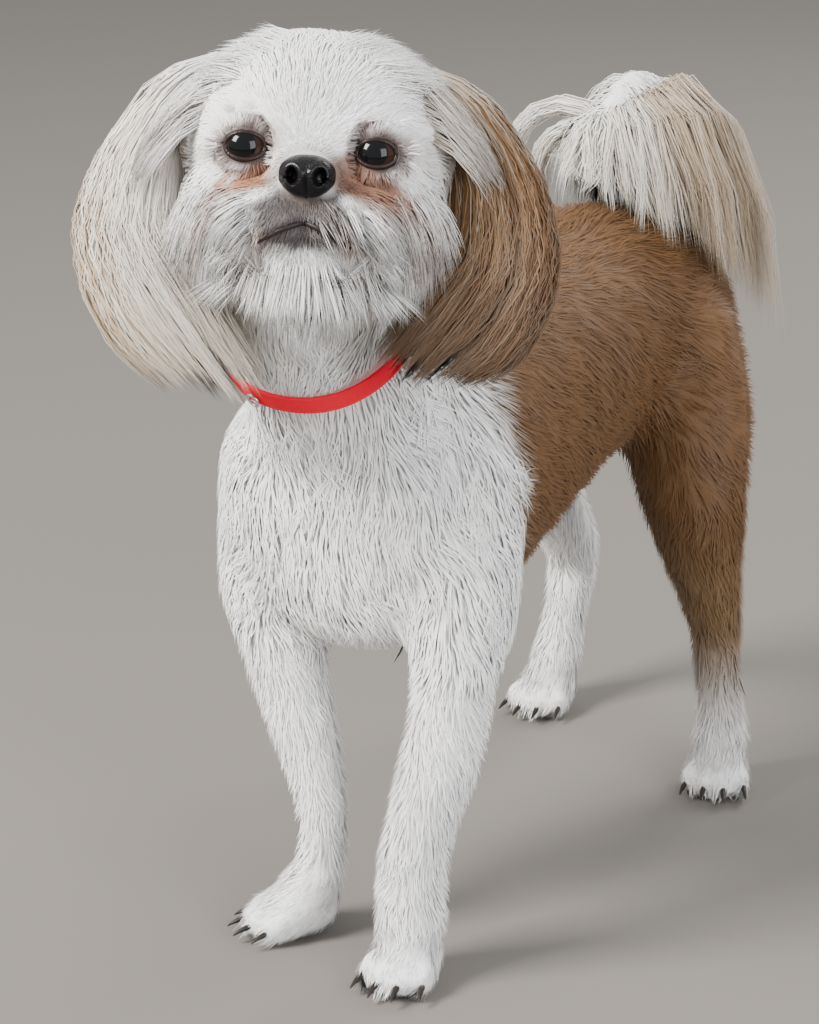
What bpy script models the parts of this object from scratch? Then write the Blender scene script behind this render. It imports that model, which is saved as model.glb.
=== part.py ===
"""Shih tzu standing with its head turned, a still life-size model of closed bodies.

Metres, +Z up, the dog faces -Y and its left side is +X. Every node is one closed
body out to the coat tips, and neighbours meet face to face across GAP.
"""

import math
import random

import bmesh
import bpy
import numpy as np
from mathutils import Matrix, Vector
from mathutils.bvhtree import BVHTree

GAP = 0.0003                 # clear width of every parting cut
CLEAR = 0.0020               # least distance kept by hair from the flesh beside it
BODY_VOXEL = 0.0030
HEAD_VOXEL = 0.0014
BODY_TRIANGLES = 3000
PAW_DETAIL_Z = 0.036
PAW_THINNED = 0.93           # how much of a paw's detail is thinned, the rest counts 1
THIN_WEIGHT = 0.12
HEAD_TRIANGLES = 1150

# torso stations along Y: (y, z of the middle, half width, half height)
TORSO = (
    (-0.158, 0.198, 0.030, 0.030),
    (-0.145, 0.194, 0.052, 0.052),
    (-0.120, 0.197, 0.063, 0.067),
    (-0.080, 0.204, 0.064, 0.075),
    (-0.030, 0.212, 0.060, 0.070),
    (0.020, 0.220, 0.057, 0.062),
    (0.065, 0.224, 0.054, 0.058),
    (0.105, 0.221, 0.055, 0.056),
    (0.135, 0.218, 0.051, 0.050),
    (0.156, 0.215, 0.041, 0.041),
    (0.168, 0.213, 0.026, 0.027),
)

# neck stations: (x, y, z, half width, half depth)
NECK = (
    (0.000, -0.092, 0.212, 0.058, 0.060),
    (0.000, -0.122, 0.240, 0.046, 0.048),
    (0.001, -0.151, 0.267, 0.0342, 0.0350),
    (0.007, -0.172, 0.296, 0.032, 0.035),
    (0.018, -0.188, 0.330, 0.034, 0.036),
)

# limbs: (x, y, z, radius) from the body down to the pastern
FORELEG_RIGHT = (
    (-0.040, -0.112, 0.205, 0.030),
    (-0.042, -0.120, 0.160, 0.025),
    (-0.036, -0.124, 0.128, 0.0205),
    (-0.025, -0.126, 0.092, 0.0165),
    (-0.016, -0.127, 0.062, 0.0130),
    (-0.016, -0.126, 0.040, 0.0120),
    (-0.020, -0.128, 0.020, 0.0130),
)
FORELEG_LEFT = (
    (0.040, -0.112, 0.205, 0.030),
    (0.050, -0.124, 0.165, 0.024),
    (0.051, -0.134, 0.128, 0.0190),
    (0.049, -0.140, 0.098, 0.0185),
    (0.041, -0.144, 0.068, 0.0165),
    (0.038, -0.145, 0.042, 0.0168),
    (0.038, -0.146, 0.022, 0.0155),
)
HINDLEG_LEFT = (
    (0.030, 0.100, 0.215, 0.038),
    (0.046, 0.090, 0.182, 0.034),
    (0.054, 0.084, 0.148, 0.027),
    (0.057, 0.092, 0.112, 0.0195),
    (0.057, 0.106, 0.080, 0.0145),
    (0.057, 0.110, 0.050, 0.0130),
    (0.060, 0.112, 0.020, 0.0130),
)
HINDLEG_RIGHT = (
    (-0.030, 0.108, 0.215, 0.038),
    (-0.044, 0.108, 0.182, 0.033),
    (-0.050, 0.120, 0.148, 0.026),
    (-0.052, 0.146, 0.112, 0.0190),
    (-0.052, 0.172, 0.080, 0.0150),
    (-0.054, 0.168, 0.050, 0.0130),
    (-0.056, 0.160, 0.020, 0.0130),
)

# paws: node, middle on the floor, heading in degrees from -Y towards +X, length scale
PAWS = (
    ("forepaw_right", (-0.027, -0.133), -44.0, 1.02),
    ("forepaw_left", (0.039, -0.151), 6.0, 1.0),
    ("hindpaw_left", (0.061, 0.103), 20.0, 1.0),
    ("hindpaw_right", (-0.057, 0.154), 2.0, 0.95),
)
PAW_HALF_WIDTH = 0.0175
PAW_HALF_LENGTH = 0.021
TOE_RADIUS = 0.0092
TOE_SPREAD = 0.0098
FLOOR_SINK = 0.0012          # depth by which the pads are cut flat at the floor
CLAW_LENGTH = 0.0085
CLAW_RADIUS = 0.0018
CLAW_DROP = 0.0030
CLAW_RINGS = (0.0, 0.35, 0.7, 1.0)
CLAW_SIDES = 5

# parting cuts: (middle, normal, half extents along the two plane directions)
NECK_CUT = ((0.000, -0.121, 0.238), (0.06, -0.60, 0.80), (0.080, 0.094))
FORELEG_CUT_Z = 0.127
HINDLEG_CUT_Z = 0.160
PAW_CUT_Z = (0.034, 0.036, 0.032, 0.032)
HEAD_CUT = ((0.010, -0.174, 0.302), (0.20, -0.46, 0.86))

# head frame
HEAD_MIDDLE = (0.026, -0.195, 0.352)
HEAD_YAW = 28.0
HEAD_PITCH = 14.0
HEAD_ROLL = 3.0
# blobs of the head in its own frame: (side, forward, up, three radii), mirrored where side > 0
HEAD_BLOBS = (
    (0.000, -0.004, 0.006, 0.053, 0.050, 0.044),
    (0.000, 0.014, 0.019, 0.041, 0.030, 0.030),
    (0.000, -0.026, -0.004, 0.044, 0.034, 0.038),
    (0.026, 0.006, -0.018, 0.026, 0.032, 0.026),
    (0.018, 0.026, -0.024, 0.020, 0.022, 0.020),
    (0.012, 0.041, -0.021, 0.0165, 0.0148, 0.0135),
    (0.000, 0.030, -0.038, 0.024, 0.020, 0.015),
    (0.000, 0.040, -0.006, 0.0145, 0.0160, 0.0120),
    (0.024, 0.026, 0.001, 0.0135, 0.0130, 0.0125),
)
EYE_SIDE = 0.0238
EYE_FORWARD = 0.0325
EYE_UP = 0.0030
EYE_RADIUS = 0.0094
EYE_SEGMENTS = 14
EYE_RINGS = 8
LID_RADIUS = 0.0021
LID_OPEN = 0.0077
NOSE_AT = (0.000, 0.0518, -0.0068)
NOSE_RADII = (0.0108, 0.0075, 0.0080)
NOSTRIL_SIDE = 0.0050
NOSTRIL_RADIUS = 0.0021
MOUTH_HALF_WIDTH = 0.0175
MOUTH_DROP = 0.0085
MOUTH_TOP = -0.0235
MOUTH_RADIUS = 0.0014
MOUTH_SUNK = 0.0004
LIP_RADIUS = 0.0030
LIP_SUNK = 0.0014

# face locks: root (side, forward, up), flow along the face, length, width, count, spread
FACE_LOCKS = (
    (0.000, 0.046, -0.037, (0.0, 0.0, -1.0), 0.027, 0.0135, 5, (0.036, 0.0, 0.0)),
    (0.016, 0.050, -0.021, (0.85, 0.0, -0.55), 0.032, 0.0120, 3, (0.012, 0.0, -0.010)),
    (0.033, 0.026, -0.016, (0.45, -0.2, -0.90), 0.034, 0.0150, 3, (0.010, -0.01, -0.010)),
)
FACE_LOCK_RINGS = 3
FACE_LOCK_SUNK = 0.0030
FACE_LOCK_LIFT = 0.0030
FACE_LOCK_DEPTH = 0.0036
FACE_DROOP = 0.35

# ears in the head frame: (side, forward, up, half width, half thickness)
EAR_RIGHT = (
    (-0.054, -0.010, 0.020, 0.008, 0.006),
    (-0.060, -0.009, 0.008, 0.014, 0.009),
    (-0.067, -0.006, -0.012, 0.019, 0.012),
    (-0.068, -0.003, -0.036, 0.022, 0.014),
    (-0.053, 0.000, -0.060, 0.024, 0.012),
    (-0.036, 0.002, -0.080, 0.018, 0.008),
)
EAR_LEFT = (
    (0.054, -0.010, 0.019, 0.008, 0.006),
    (0.061, -0.009, 0.006, 0.015, 0.009),
    (0.069, -0.006, -0.014, 0.020, 0.012),
    (0.069, -0.003, -0.038, 0.024, 0.014),
    (0.058, 0.000, -0.058, 0.025, 0.012),
    (0.045, 0.002, -0.073, 0.018, 0.008),
)
EAR_PEG = ((0.042, -0.010, 0.012), (0.060, -0.010, 0.008), 0.0042)
EAR_CORE_END = 0.5           # share of the ear's length filled under its locks
EAR_CUP = ((0.052, 0.000, -0.006), (0.0040, 0.0060, 0.0110))
EAR_LOCKS = 13
EAR_LOCK_WIDTH = 0.0190
EAR_LOCK_DEPTH = 0.0034
LOCK_RINGS = 5
LOCK_FULLNESS = 4.0
LOCK_END_SHARE = 0.30        # depth of a lock near its tip against its root

COLLAR_AT = (0.001, -0.154, 0.273)
COLLAR_NORMAL = (0.10, -0.55, 0.83)
COLLAR_RADIUS = 0.0384
COLLAR_HALF_HEIGHT = 0.0042
COLLAR_THICKNESS = 0.0024
RING_SIDE = (-0.275, -0.817, -0.508)     # from the collar's middle towards the ring
RING_DROP = 0.0015
RING_RADIUS = 0.0028
RING_WIRE = 0.0007

# tail stem: (x, y, z, radius)
TAIL_STEM = (
    (0.000, 0.134, 0.246, 0.0120),
    (0.000, 0.150, 0.282, 0.0130),
    (0.000, 0.144, 0.312, 0.0130),
    (0.000, 0.122, 0.325, 0.0120),
    (0.000, 0.100, 0.316, 0.0095),
    (-0.002, 0.088, 0.302, 0.0060),
)
# falls of the plume around the stem, from the back by the left: root, crest, side and tip
PLUME_FALLS = (
    ((0.000, 0.150, 0.300), (0.004, 0.164, 0.316), (0.010, 0.182, 0.280), (0.012, 0.186, 0.222)),
    ((0.002, 0.146, 0.306), (0.023, 0.153, 0.316), (0.046, 0.168, 0.278), (0.054, 0.168, 0.204)),
    ((0.002, 0.128, 0.316), (0.024, 0.130, 0.331), (0.052, 0.134, 0.294), (0.062, 0.144, 0.222)),
    ((0.002, 0.108, 0.314), (0.024, 0.102, 0.330), (0.050, 0.092, 0.306), (0.062, 0.092, 0.250)),
    ((0.000, 0.094, 0.308), (0.002, 0.082, 0.318), (0.002, 0.072, 0.308), (0.002, 0.068, 0.290)),
    ((-0.002, 0.098, 0.310), (-0.018, 0.092, 0.320), (-0.034, 0.090, 0.312), (-0.046, 0.094, 0.286)),
    ((-0.002, 0.124, 0.314), (-0.022, 0.128, 0.325), (-0.044, 0.136, 0.298), (-0.054, 0.146, 0.240)),
    ((0.000, 0.142, 0.308), (-0.014, 0.158, 0.318), (-0.034, 0.174, 0.284), (-0.042, 0.180, 0.222)),
)
PLUME_CORE = ((0.000, 0.122, 0.309), (0.026, 0.034, 0.026))
PLUME_LOCKS = 23
PLUME_LOCK_WIDTH = 0.0320
PLUME_LOCK_DEPTH = 0.0042
TAIL_SUNK = 3                # stem stations that share the pit in the torso

PROBE = Vector((0.013, 0.007, 1.0)).normalized()

WHITE = (0.86, 0.83, 0.78)
TAN = (0.66, 0.50, 0.34)
GOLD = (0.62, 0.44, 0.26)
BLACK = (0.02, 0.018, 0.016)
RED = (0.62, 0.02, 0.02)
STEEL = (0.55, 0.55, 0.56)


def clear_scene():
    """Remove every object so the file starts empty."""
    for obj in list(bpy.data.objects):
        bpy.data.objects.remove(obj, do_unlink=True)


def material(name, color, roughness=0.6, metallic=0.0):
    """Make one Principled material."""
    mat = bpy.data.materials.new(name)
    mat.use_nodes = True
    shader = mat.node_tree.nodes["Principled BSDF"]
    shader.inputs["Base Color"].default_value = (*color, 1.0)
    shader.inputs["Roughness"].default_value = roughness
    shader.inputs["Metallic"].default_value = metallic
    return mat


def mesh_object(name, verts, faces):
    """Link a new object made of the given points and faces."""
    mesh = bpy.data.meshes.new(name)
    mesh.from_pydata([tuple(v) for v in verts], [], faces)
    mesh.update()
    obj = bpy.data.objects.new(name, mesh)
    bpy.context.scene.collection.objects.link(obj)
    return obj


def drop(objects):
    """Remove scratch objects."""
    for obj in objects:
        bpy.data.objects.remove(obj, do_unlink=True)


def curve_points(points, steps):
    """Points of a Catmull-Rom curve through rows of any length."""
    rows = np.array(points, dtype=float)
    padded = np.vstack([2 * rows[0] - rows[1], rows, 2 * rows[-1] - rows[-2]])
    out = []
    for i in range(1, len(padded) - 2):
        a, b, c, d = padded[i - 1:i + 3]
        for t in np.arange(steps) / steps:
            out.append(0.5 * (2 * b + (c - a) * t + (2 * a - 5 * b + 4 * c - d) * t * t
                              + (3 * b - a - 3 * c + d) * t ** 3))
    out.append(rows[-1])
    return np.array(out)


def loft(name, middles, sides, ups, count=20):
    """Close a tube of elliptical rings given each ring's middle and two half axes."""
    verts = []
    for mid, side, up in zip(middles, sides, ups):
        for k in range(count):
            angle = math.tau * k / count
            verts.append(np.array(mid) + math.cos(angle) * np.array(side)
                         + math.sin(angle) * np.array(up))
    faces = []
    rings = len(middles)
    for i in range(rings - 1):
        for k in range(count):
            nxt = (k + 1) % count
            faces.append((i * count + k, i * count + nxt,
                          (i + 1) * count + nxt, (i + 1) * count + k))
    faces.append(tuple(reversed(range(count))))
    faces.append(tuple(range((rings - 1) * count, rings * count)))
    obj = mesh_object(name, verts, faces)
    face_outwards(obj)
    return obj


def face_outwards(obj):
    """Make the normals of a closed mesh point outwards."""
    work = bmesh.new()
    work.from_mesh(obj.data)
    bmesh.ops.recalc_face_normals(work, faces=work.faces)
    if work.calc_volume(signed=True) < 0:
        bmesh.ops.reverse_faces(work, faces=work.faces)
    work.to_mesh(obj.data)
    work.free()


def path_frames(path, reference):
    """Side and up unit vectors along a path, kept near the reference side."""
    tangents = np.gradient(path, axis=0)
    tangents /= np.linalg.norm(tangents, axis=1)[:, None]
    sides = []
    ups = []
    for tangent in tangents:
        side = np.array(reference) - np.dot(reference, tangent) * tangent
        side /= np.linalg.norm(side)
        sides.append(side)
        ups.append(np.cross(tangent, side))
    return np.array(sides), np.array(ups)


def limb(name, stations, reference=(1.0, 0.0, 0.0), steps=4, count=16):
    """Tube through (x, y, z, half width[, half depth]) stations, with rounded ends."""
    rows = curve_points(stations, steps)
    path = rows[:, :3]
    wide = rows[:, 3]
    deep = rows[:, 4] if rows.shape[1] > 4 else wide
    sides, ups = path_frames(path, reference)
    mids = list(path)
    half_side = [s * w for s, w in zip(sides, wide)]
    half_up = [u * d for u, d in zip(ups, deep)]
    for end, direction in ((0, path[0] - path[1]), (-1, path[-1] - path[-2])):
        direction = direction / np.linalg.norm(direction)
        reach = min(wide[end], deep[end])
        for turn in (0.6, 0.9):
            shrink = math.sqrt(1 - turn * turn)
            ring = (path[end] + direction * reach * turn,
                    sides[end] * wide[end] * shrink, ups[end] * deep[end] * shrink)
            if end == 0:
                mids.insert(0, ring[0])
                half_side.insert(0, ring[1])
                half_up.insert(0, ring[2])
            else:
                mids.append(ring[0])
                half_side.append(ring[1])
                half_up.append(ring[2])
    return loft(name, mids, half_side, half_up, count)


def blob(name, middle, radii, axes=None, segments=24, rings=14):
    """Ellipsoid with its radii along the given axes."""
    mesh = bpy.data.meshes.new(name)
    work = bmesh.new()
    bmesh.ops.create_uvsphere(work, u_segments=segments, v_segments=rings, radius=1.0)
    work.to_mesh(mesh)
    work.free()
    turn = Matrix.Identity(3) if axes is None else Matrix(axes).transposed()
    grow = Matrix.Diagonal(Vector(radii))
    mesh.transform(Matrix.Translation(Vector(middle)) @ (turn @ grow).to_4x4())
    obj = bpy.data.objects.new(name, mesh)
    bpy.context.scene.collection.objects.link(obj)
    face_outwards(obj)
    return obj


def applied(obj):
    """Replace the mesh of an object by its evaluated mesh, and drop the modifiers."""
    depsgraph = bpy.context.evaluated_depsgraph_get()
    mesh = bpy.data.meshes.new_from_object(obj.evaluated_get(depsgraph))
    obj.modifiers.clear()
    obj.data = mesh
    return obj


def joined(name, objects):
    """Put the meshes of several objects into one object."""
    work = bmesh.new()
    for obj in objects:
        work.from_mesh(obj.data)
    mesh = bpy.data.meshes.new(name)
    work.to_mesh(mesh)
    work.free()
    drop(objects)
    obj = bpy.data.objects.new(name, mesh)
    bpy.context.scene.collection.objects.link(obj)
    return obj


def fused(name, objects, voxel, triangles, smooth=6, keep=None):
    """Melt overlapping closed meshes into one skin with about the given triangles.

    The keep function says how much of a point's detail is thinned away, 0 to 1.
    """
    obj = joined(name, objects)
    remesh = obj.modifiers.new("melt", "REMESH")
    remesh.mode = "VOXEL"
    remesh.voxel_size = voxel
    soften = obj.modifiers.new("soften", "SMOOTH")
    soften.factor = 0.5
    soften.iterations = smooth
    applied(obj)
    obj.data.calc_loop_triangles()
    now = len(obj.data.loop_triangles)
    thin = obj.modifiers.new("thin", "DECIMATE")
    thin.ratio = min(1.0, triangles / now)
    if keep:
        group = obj.vertex_groups.new(name="plain")
        for vert in obj.data.vertices:
            group.add([vert.index], keep(vert.co), "REPLACE")
        thin.vertex_group = group.name
        thin.vertex_group_factor = THIN_WEIGHT
    applied(obj)
    obj.vertex_groups.clear()
    return keep_largest(obj)


def islands(obj):
    """Groups of face indices joined by shared edges."""
    mesh = obj.data
    parent = list(range(len(mesh.vertices)))

    def find(i):
        while parent[i] != i:
            parent[i] = parent[parent[i]]
            i = parent[i]
        return i

    for edge in mesh.edges:
        a, b = find(edge.vertices[0]), find(edge.vertices[1])
        if a != b:
            parent[a] = b
    groups = {}
    for face in mesh.polygons:
        groups.setdefault(find(face.vertices[0]), []).append(face.index)
    return list(groups.values())


def piece(name, obj, faces):
    """New object holding only the given faces."""
    mesh = obj.data
    used = {}
    verts = []
    new_faces = []
    for index in faces:
        corners = []
        for vert in mesh.polygons[index].vertices:
            if vert not in used:
                used[vert] = len(verts)
                verts.append(mesh.vertices[vert].co.copy())
            corners.append(used[vert])
        new_faces.append(tuple(corners))
    return mesh_object(name, verts, new_faces)


def volume(obj):
    """Enclosed volume of a closed mesh."""
    work = bmesh.new()
    work.from_mesh(obj.data)
    inside = work.calc_volume(signed=True)
    work.free()
    return inside


def keep_largest(obj):
    """Keep the closed surface that holds the most volume."""
    groups = islands(obj)
    if len(groups) == 1:
        return obj
    parts = [piece(obj.name, obj, group) for group in groups]
    best = max(parts, key=volume)
    mesh = best.data.copy()
    drop(parts)
    obj.data = mesh
    return obj


def open_edges(obj):
    """Number of edges that don't join exactly two faces."""
    work = bmesh.new()
    work.from_mesh(obj.data)
    count = sum(1 for edge in work.edges if len(edge.link_faces) != 2)
    work.free()
    return count


def combined(obj, operation, cutter=None, group=None):
    """Apply one Boolean, exact unless its result is open."""
    before = obj.data.copy()
    for solver in ("EXACT", "MANIFOLD"):
        obj.data = before.copy()
        mod = obj.modifiers.new("shape", "BOOLEAN")
        mod.operation = operation
        mod.solver = solver
        if group:
            mod.operand_type = "COLLECTION"
            mod.collection = group
        else:
            mod.object = cutter
        applied(obj)
        if not open_edges(obj):
            break
    return obj


def boolean(obj, cutter, operation="DIFFERENCE"):
    """Cut, keep or add a closed mesh, applied at once."""
    cutter.hide_render = True
    cutter.display_type = "WIRE"
    return combined(obj, operation, cutter)


def slab(name, middle, normal, half_u, half_v, thickness=GAP, reference=(1.0, 0.0, 0.0)):
    """Thin box across a normal, its first extent along the reference direction."""
    across = np.array(normal) / np.linalg.norm(normal)
    first = np.array(reference) - np.dot(reference, across) * across
    first /= np.linalg.norm(first)
    second = np.cross(across, first)
    verts = []
    for a in (-0.5, 0.5):
        for u in (-1, 1):
            for v in (-1, 1):
                verts.append(np.array(middle) + across * a * thickness
                             + first * u * half_u + second * v * half_v)
    faces = [(0, 1, 3, 2), (4, 6, 7, 5), (0, 4, 5, 1), (2, 3, 7, 6), (0, 2, 6, 4), (1, 5, 7, 3)]
    obj = mesh_object(name, verts, faces)
    face_outwards(obj)
    return obj


def half_space(name, middle, normal, sign, reach=0.4):
    """Large block on one side of a plane that reaches half a gap across it."""
    across = np.array(normal) / np.linalg.norm(normal)
    centre = np.array(middle) + across * sign * (reach / 2 - GAP / 2)
    return slab(name, centre, normal, reach, reach, thickness=reach)


class HeadFrame:
    """Own axes of the turned, raised and tilted head."""

    def __init__(self):
        yaw, pitch, roll = (math.radians(a) for a in (HEAD_YAW, HEAD_PITCH, HEAD_ROLL))
        level = np.array([math.sin(yaw), -math.cos(yaw), 0.0])
        side = np.array([math.cos(yaw), math.sin(yaw), 0.0])
        up = np.array([0.0, 0.0, 1.0])
        self.forward = level * math.cos(pitch) + up * math.sin(pitch)
        lifted = up * math.cos(pitch) - level * math.sin(pitch)
        self.side = side * math.cos(roll) - lifted * math.sin(roll)
        self.up = lifted * math.cos(roll) + side * math.sin(roll)
        self.middle = np.array(HEAD_MIDDLE)

    def at(self, side, forward, up):
        """World point of a point in the head's own axes."""
        return self.middle + side * self.side + forward * self.forward + up * self.up

    def axes(self):
        """Rows of the head's own axes."""
        return [tuple(self.side), tuple(self.forward), tuple(self.up)]


def torso_solid():
    """Barrel from the breast to the rump."""
    rows = curve_points(TORSO, 4)
    mids = [(0.0, y, z) for y, z, _, _ in rows]
    sides = [(w, 0.0, 0.0) for _, _, w, _ in rows]
    ups = [(0.0, 0.0, h) for _, _, _, h in rows]
    return loft("barrel", mids, sides, ups, 28)


def paw_frame(heading):
    """Forward and side directions of a paw on the floor."""
    angle = math.radians(heading)
    forward = np.array([math.sin(angle), -math.cos(angle), 0.0])
    side = np.array([math.cos(angle), math.sin(angle), 0.0])
    return forward, side


def toe_points(middle, heading, scale):
    """Middles of the four toes and the claw directions of one paw."""
    forward, side = paw_frame(heading)
    base = np.array([middle[0], middle[1], 0.0])
    toes = []
    for k in range(4):
        slot = k - 1.5
        reach = (0.0135 if abs(slot) < 1 else 0.0085) * scale
        centre = base + forward * reach + side * slot * TOE_SPREAD * 0.82
        centre = centre + np.array([0.0, 0.0, TOE_RADIUS - FLOOR_SINK])
        turned = forward + side * slot * 0.16
        toes.append((centre, turned / np.linalg.norm(turned)))
    return toes


def paw_solids(name, middle, heading, scale):
    """Pad, heel and toes of one paw."""
    forward, side = paw_frame(heading)
    base = np.array([middle[0], middle[1], 0.0])
    axes = [tuple(side), tuple(forward), (0.0, 0.0, 1.0)]
    parts = [blob(name, base + np.array([0.0, 0.0, 0.0105]) - forward * 0.002,
                  (PAW_HALF_WIDTH * 0.92, PAW_HALF_LENGTH * 0.92 * scale, 0.0122), axes)]
    parts.append(blob(name, base + np.array([0.0, 0.0, 0.0170]) - forward * 0.006,
                      (PAW_HALF_WIDTH * 0.80, PAW_HALF_LENGTH * 0.72 * scale, 0.0140), axes))
    for centre, turned in toe_points(middle, heading, scale):
        across = np.cross(turned, (0.0, 0.0, 1.0))
        parts.append(blob(name, centre, (TOE_RADIUS * 0.66, TOE_RADIUS * 1.15, TOE_RADIUS),
                          [tuple(across), tuple(turned), (0.0, 0.0, 1.0)], 16, 10))
    return parts


def body_solids():
    """Every overlapping solid of neck, torso, legs and paws."""
    solids = [torso_solid(), limb("neck", NECK, count=24)]
    for stations in (FORELEG_RIGHT, FORELEG_LEFT, HINDLEG_LEFT, HINDLEG_RIGHT):
        solids.append(limb("limb", stations))
    for name, middle, heading, scale in PAWS:
        solids += paw_solids(name, middle, heading, scale)
    return solids


def claw_solid(name, start, turned, grow):
    """Small cone that curves down towards its tip."""
    across = np.cross(turned, (0.0, 0.0, 1.0))
    lift = np.array([0.0, 0.0, 1.0])
    verts = []
    for t in CLAW_RINGS:
        radius = CLAW_RADIUS * (1.0 - 0.75 * t ** 1.6) + grow
        middle = start + turned * (CLAW_LENGTH * t + (-grow if t == 0 else 0.0))
        middle[2] -= CLAW_DROP * t * t
        for k in range(CLAW_SIDES):
            angle = math.tau * k / CLAW_SIDES
            verts.append(middle + across * radius * math.cos(angle) + lift * radius * math.sin(angle))
    faces = []
    for i in range(len(CLAW_RINGS) - 1):
        for k in range(CLAW_SIDES):
            nxt = (k + 1) % CLAW_SIDES
            low = i * CLAW_SIDES
            faces.append((low + k, low + nxt, low + CLAW_SIDES + nxt, low + CLAW_SIDES + k))
    last = (len(CLAW_RINGS) - 1) * CLAW_SIDES
    faces.append(tuple(range(CLAW_SIDES)))
    faces.append(tuple(range(last, last + CLAW_SIDES)))
    obj = mesh_object(name, verts, faces)
    face_outwards(obj)
    return obj


def build_claws():
    """Sixteen small curved claws, and a grown copy of each for its pit."""
    claws = []
    for name, middle, heading, scale in PAWS:
        for k, (centre, turned) in enumerate(toe_points(middle, heading, scale)):
            start = centre + turned * TOE_RADIUS * 0.62 + np.array([0.0, 0.0, -0.0008])
            claw = claw_solid(f"{name.replace('paw', 'claw')}_{k + 1}", start, turned, 0.0)
            claws.append((name, claw, claw_solid("claw_pit", start, turned, GAP)))
    return claws


def build_body():
    """Neck, torso, legs and paws from one skin parted by thin cuts."""
    whole = fused("body", body_solids(), BODY_VOXEL, BODY_TRIANGLES,
                  keep=lambda point: PAW_THINNED if point.z < PAW_DETAIL_Z else 1.0)
    obstacle = surface_tree(whole)
    floor = slab("floor", (0.0, 0.0, -0.05), (0.0, 0.0, 1.0), 0.5, 0.5, thickness=0.1)
    cuts = [slab("cut", NECK_CUT[0], NECK_CUT[1], *NECK_CUT[2])]
    fore = (("foreleg_right", -0.040, -0.122, -0.034), ("foreleg_left", 0.040, -0.132, 0.034))
    for _, x, y, _ in fore:
        cuts.append(slab("cut", (x * 1.10, y, FORELEG_CUT_Z), (0.0, 0.0, 1.0), 0.034, 0.045))
    hind = (("hindleg_right", -0.045, 0.125), ("hindleg_left", 0.045, 0.090))
    for _, x, y in hind:
        cuts.append(slab("cut", (x * 1.10, y, HINDLEG_CUT_Z), (0.0, 0.0, 1.0), 0.044, 0.062))
    for (name, middle, _, _), level in zip(PAWS, PAW_CUT_Z):
        cuts.append(slab("cut", (*middle, level), (0.0, 0.0, 1.0), 0.0265, 0.040))
    boolean(whole, floor)
    for cutter in cuts:
        boolean(whole, cutter)
    top = half_space("top", *HEAD_CUT, sign=1)
    boolean(whole, top)
    drop([floor, top] + cuts)
    parts = [piece("part", whole, group) for group in islands(whole)]
    drop([whole])
    seeds = {
        "neck": (0.008, -0.125, 0.262),
        "torso": (0.0, 0.0, 0.215),
        "foreleg_right": FORELEG_RIGHT[3][:3],
        "foreleg_left": FORELEG_LEFT[3][:3],
        "hindleg_left": HINDLEG_LEFT[3][:3],
        "hindleg_right": HINDLEG_RIGHT[3][:3],
    }
    for name, middle, _, _ in PAWS:
        seeds[name] = (*middle, 0.012)
    return name_pieces(parts, seeds), obstacle


def name_pieces(parts, seeds):
    """Give each seed's node the closed piece that holds the seed point."""
    named = {}
    for name, seed in seeds.items():
        holders = [part for part in parts if inside(surface_tree(part), Vector(seed))]
        found = max(holders, key=volume)
        found.name = name
        found.data.name = name
        named[name] = found
    drop([part for part in parts if part not in named.values()])
    return named


def arc_tube(name, frame, points, radius, count=10):
    """Round tube through head-frame points."""
    rows = [(*frame.at(*point), radius) for point in points]
    return limb(name, rows, reference=tuple(frame.up), steps=4, count=count)


def eye_middle(frame, sign):
    """World middle of one eyeball."""
    return frame.at(sign * EYE_SIDE, EYE_FORWARD, EYE_UP)


def lid_points(sign, upper):
    """Arc of one lid over the front of the eyeball, in the head frame."""
    points = []
    for t in np.linspace(-1.0, 1.0, 7):
        angle = t * math.radians(80)
        side = math.sin(angle) * EYE_RADIUS * 1.03
        lift = (LID_OPEN if upper else -LID_OPEN) * math.cos(t * math.pi / 2) ** 0.8
        ahead = math.sqrt(max(1e-9, (EYE_RADIUS * 1.06) ** 2 - min(side * side + lift * lift,
                                                                   (EYE_RADIUS * 1.0) ** 2)))
        points.append((sign * EYE_SIDE + side, EYE_FORWARD + ahead, EYE_UP + lift))
    return points


def face_depth(side, up):
    """Foremost surface of the head's blobs at a place seen from the front."""
    depth = -1.0
    for blob_side, forward, blob_up, wide, deep, tall in HEAD_BLOBS:
        for sign in (1, -1):
            across = (side - sign * blob_side) / wide
            rise = (up - blob_up) / tall
            rest = 1.0 - across * across - rise * rise
            if rest > 0.0:
                depth = max(depth, forward + deep * math.sqrt(rest))
    return depth


def mouth_points(lift=0.0, share=1.0, sunk=0.0):
    """Curve of the closed mouth on the face, an upside-down bow, in the head frame."""
    points = []
    for t in np.linspace(-share, share, 11):
        side = t * MOUTH_HALF_WIDTH
        up = MOUTH_TOP - MOUTH_DROP * abs(t) ** 1.3 + lift
        points.append((side, face_depth(side, up) - sunk, up))
    return points


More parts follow.
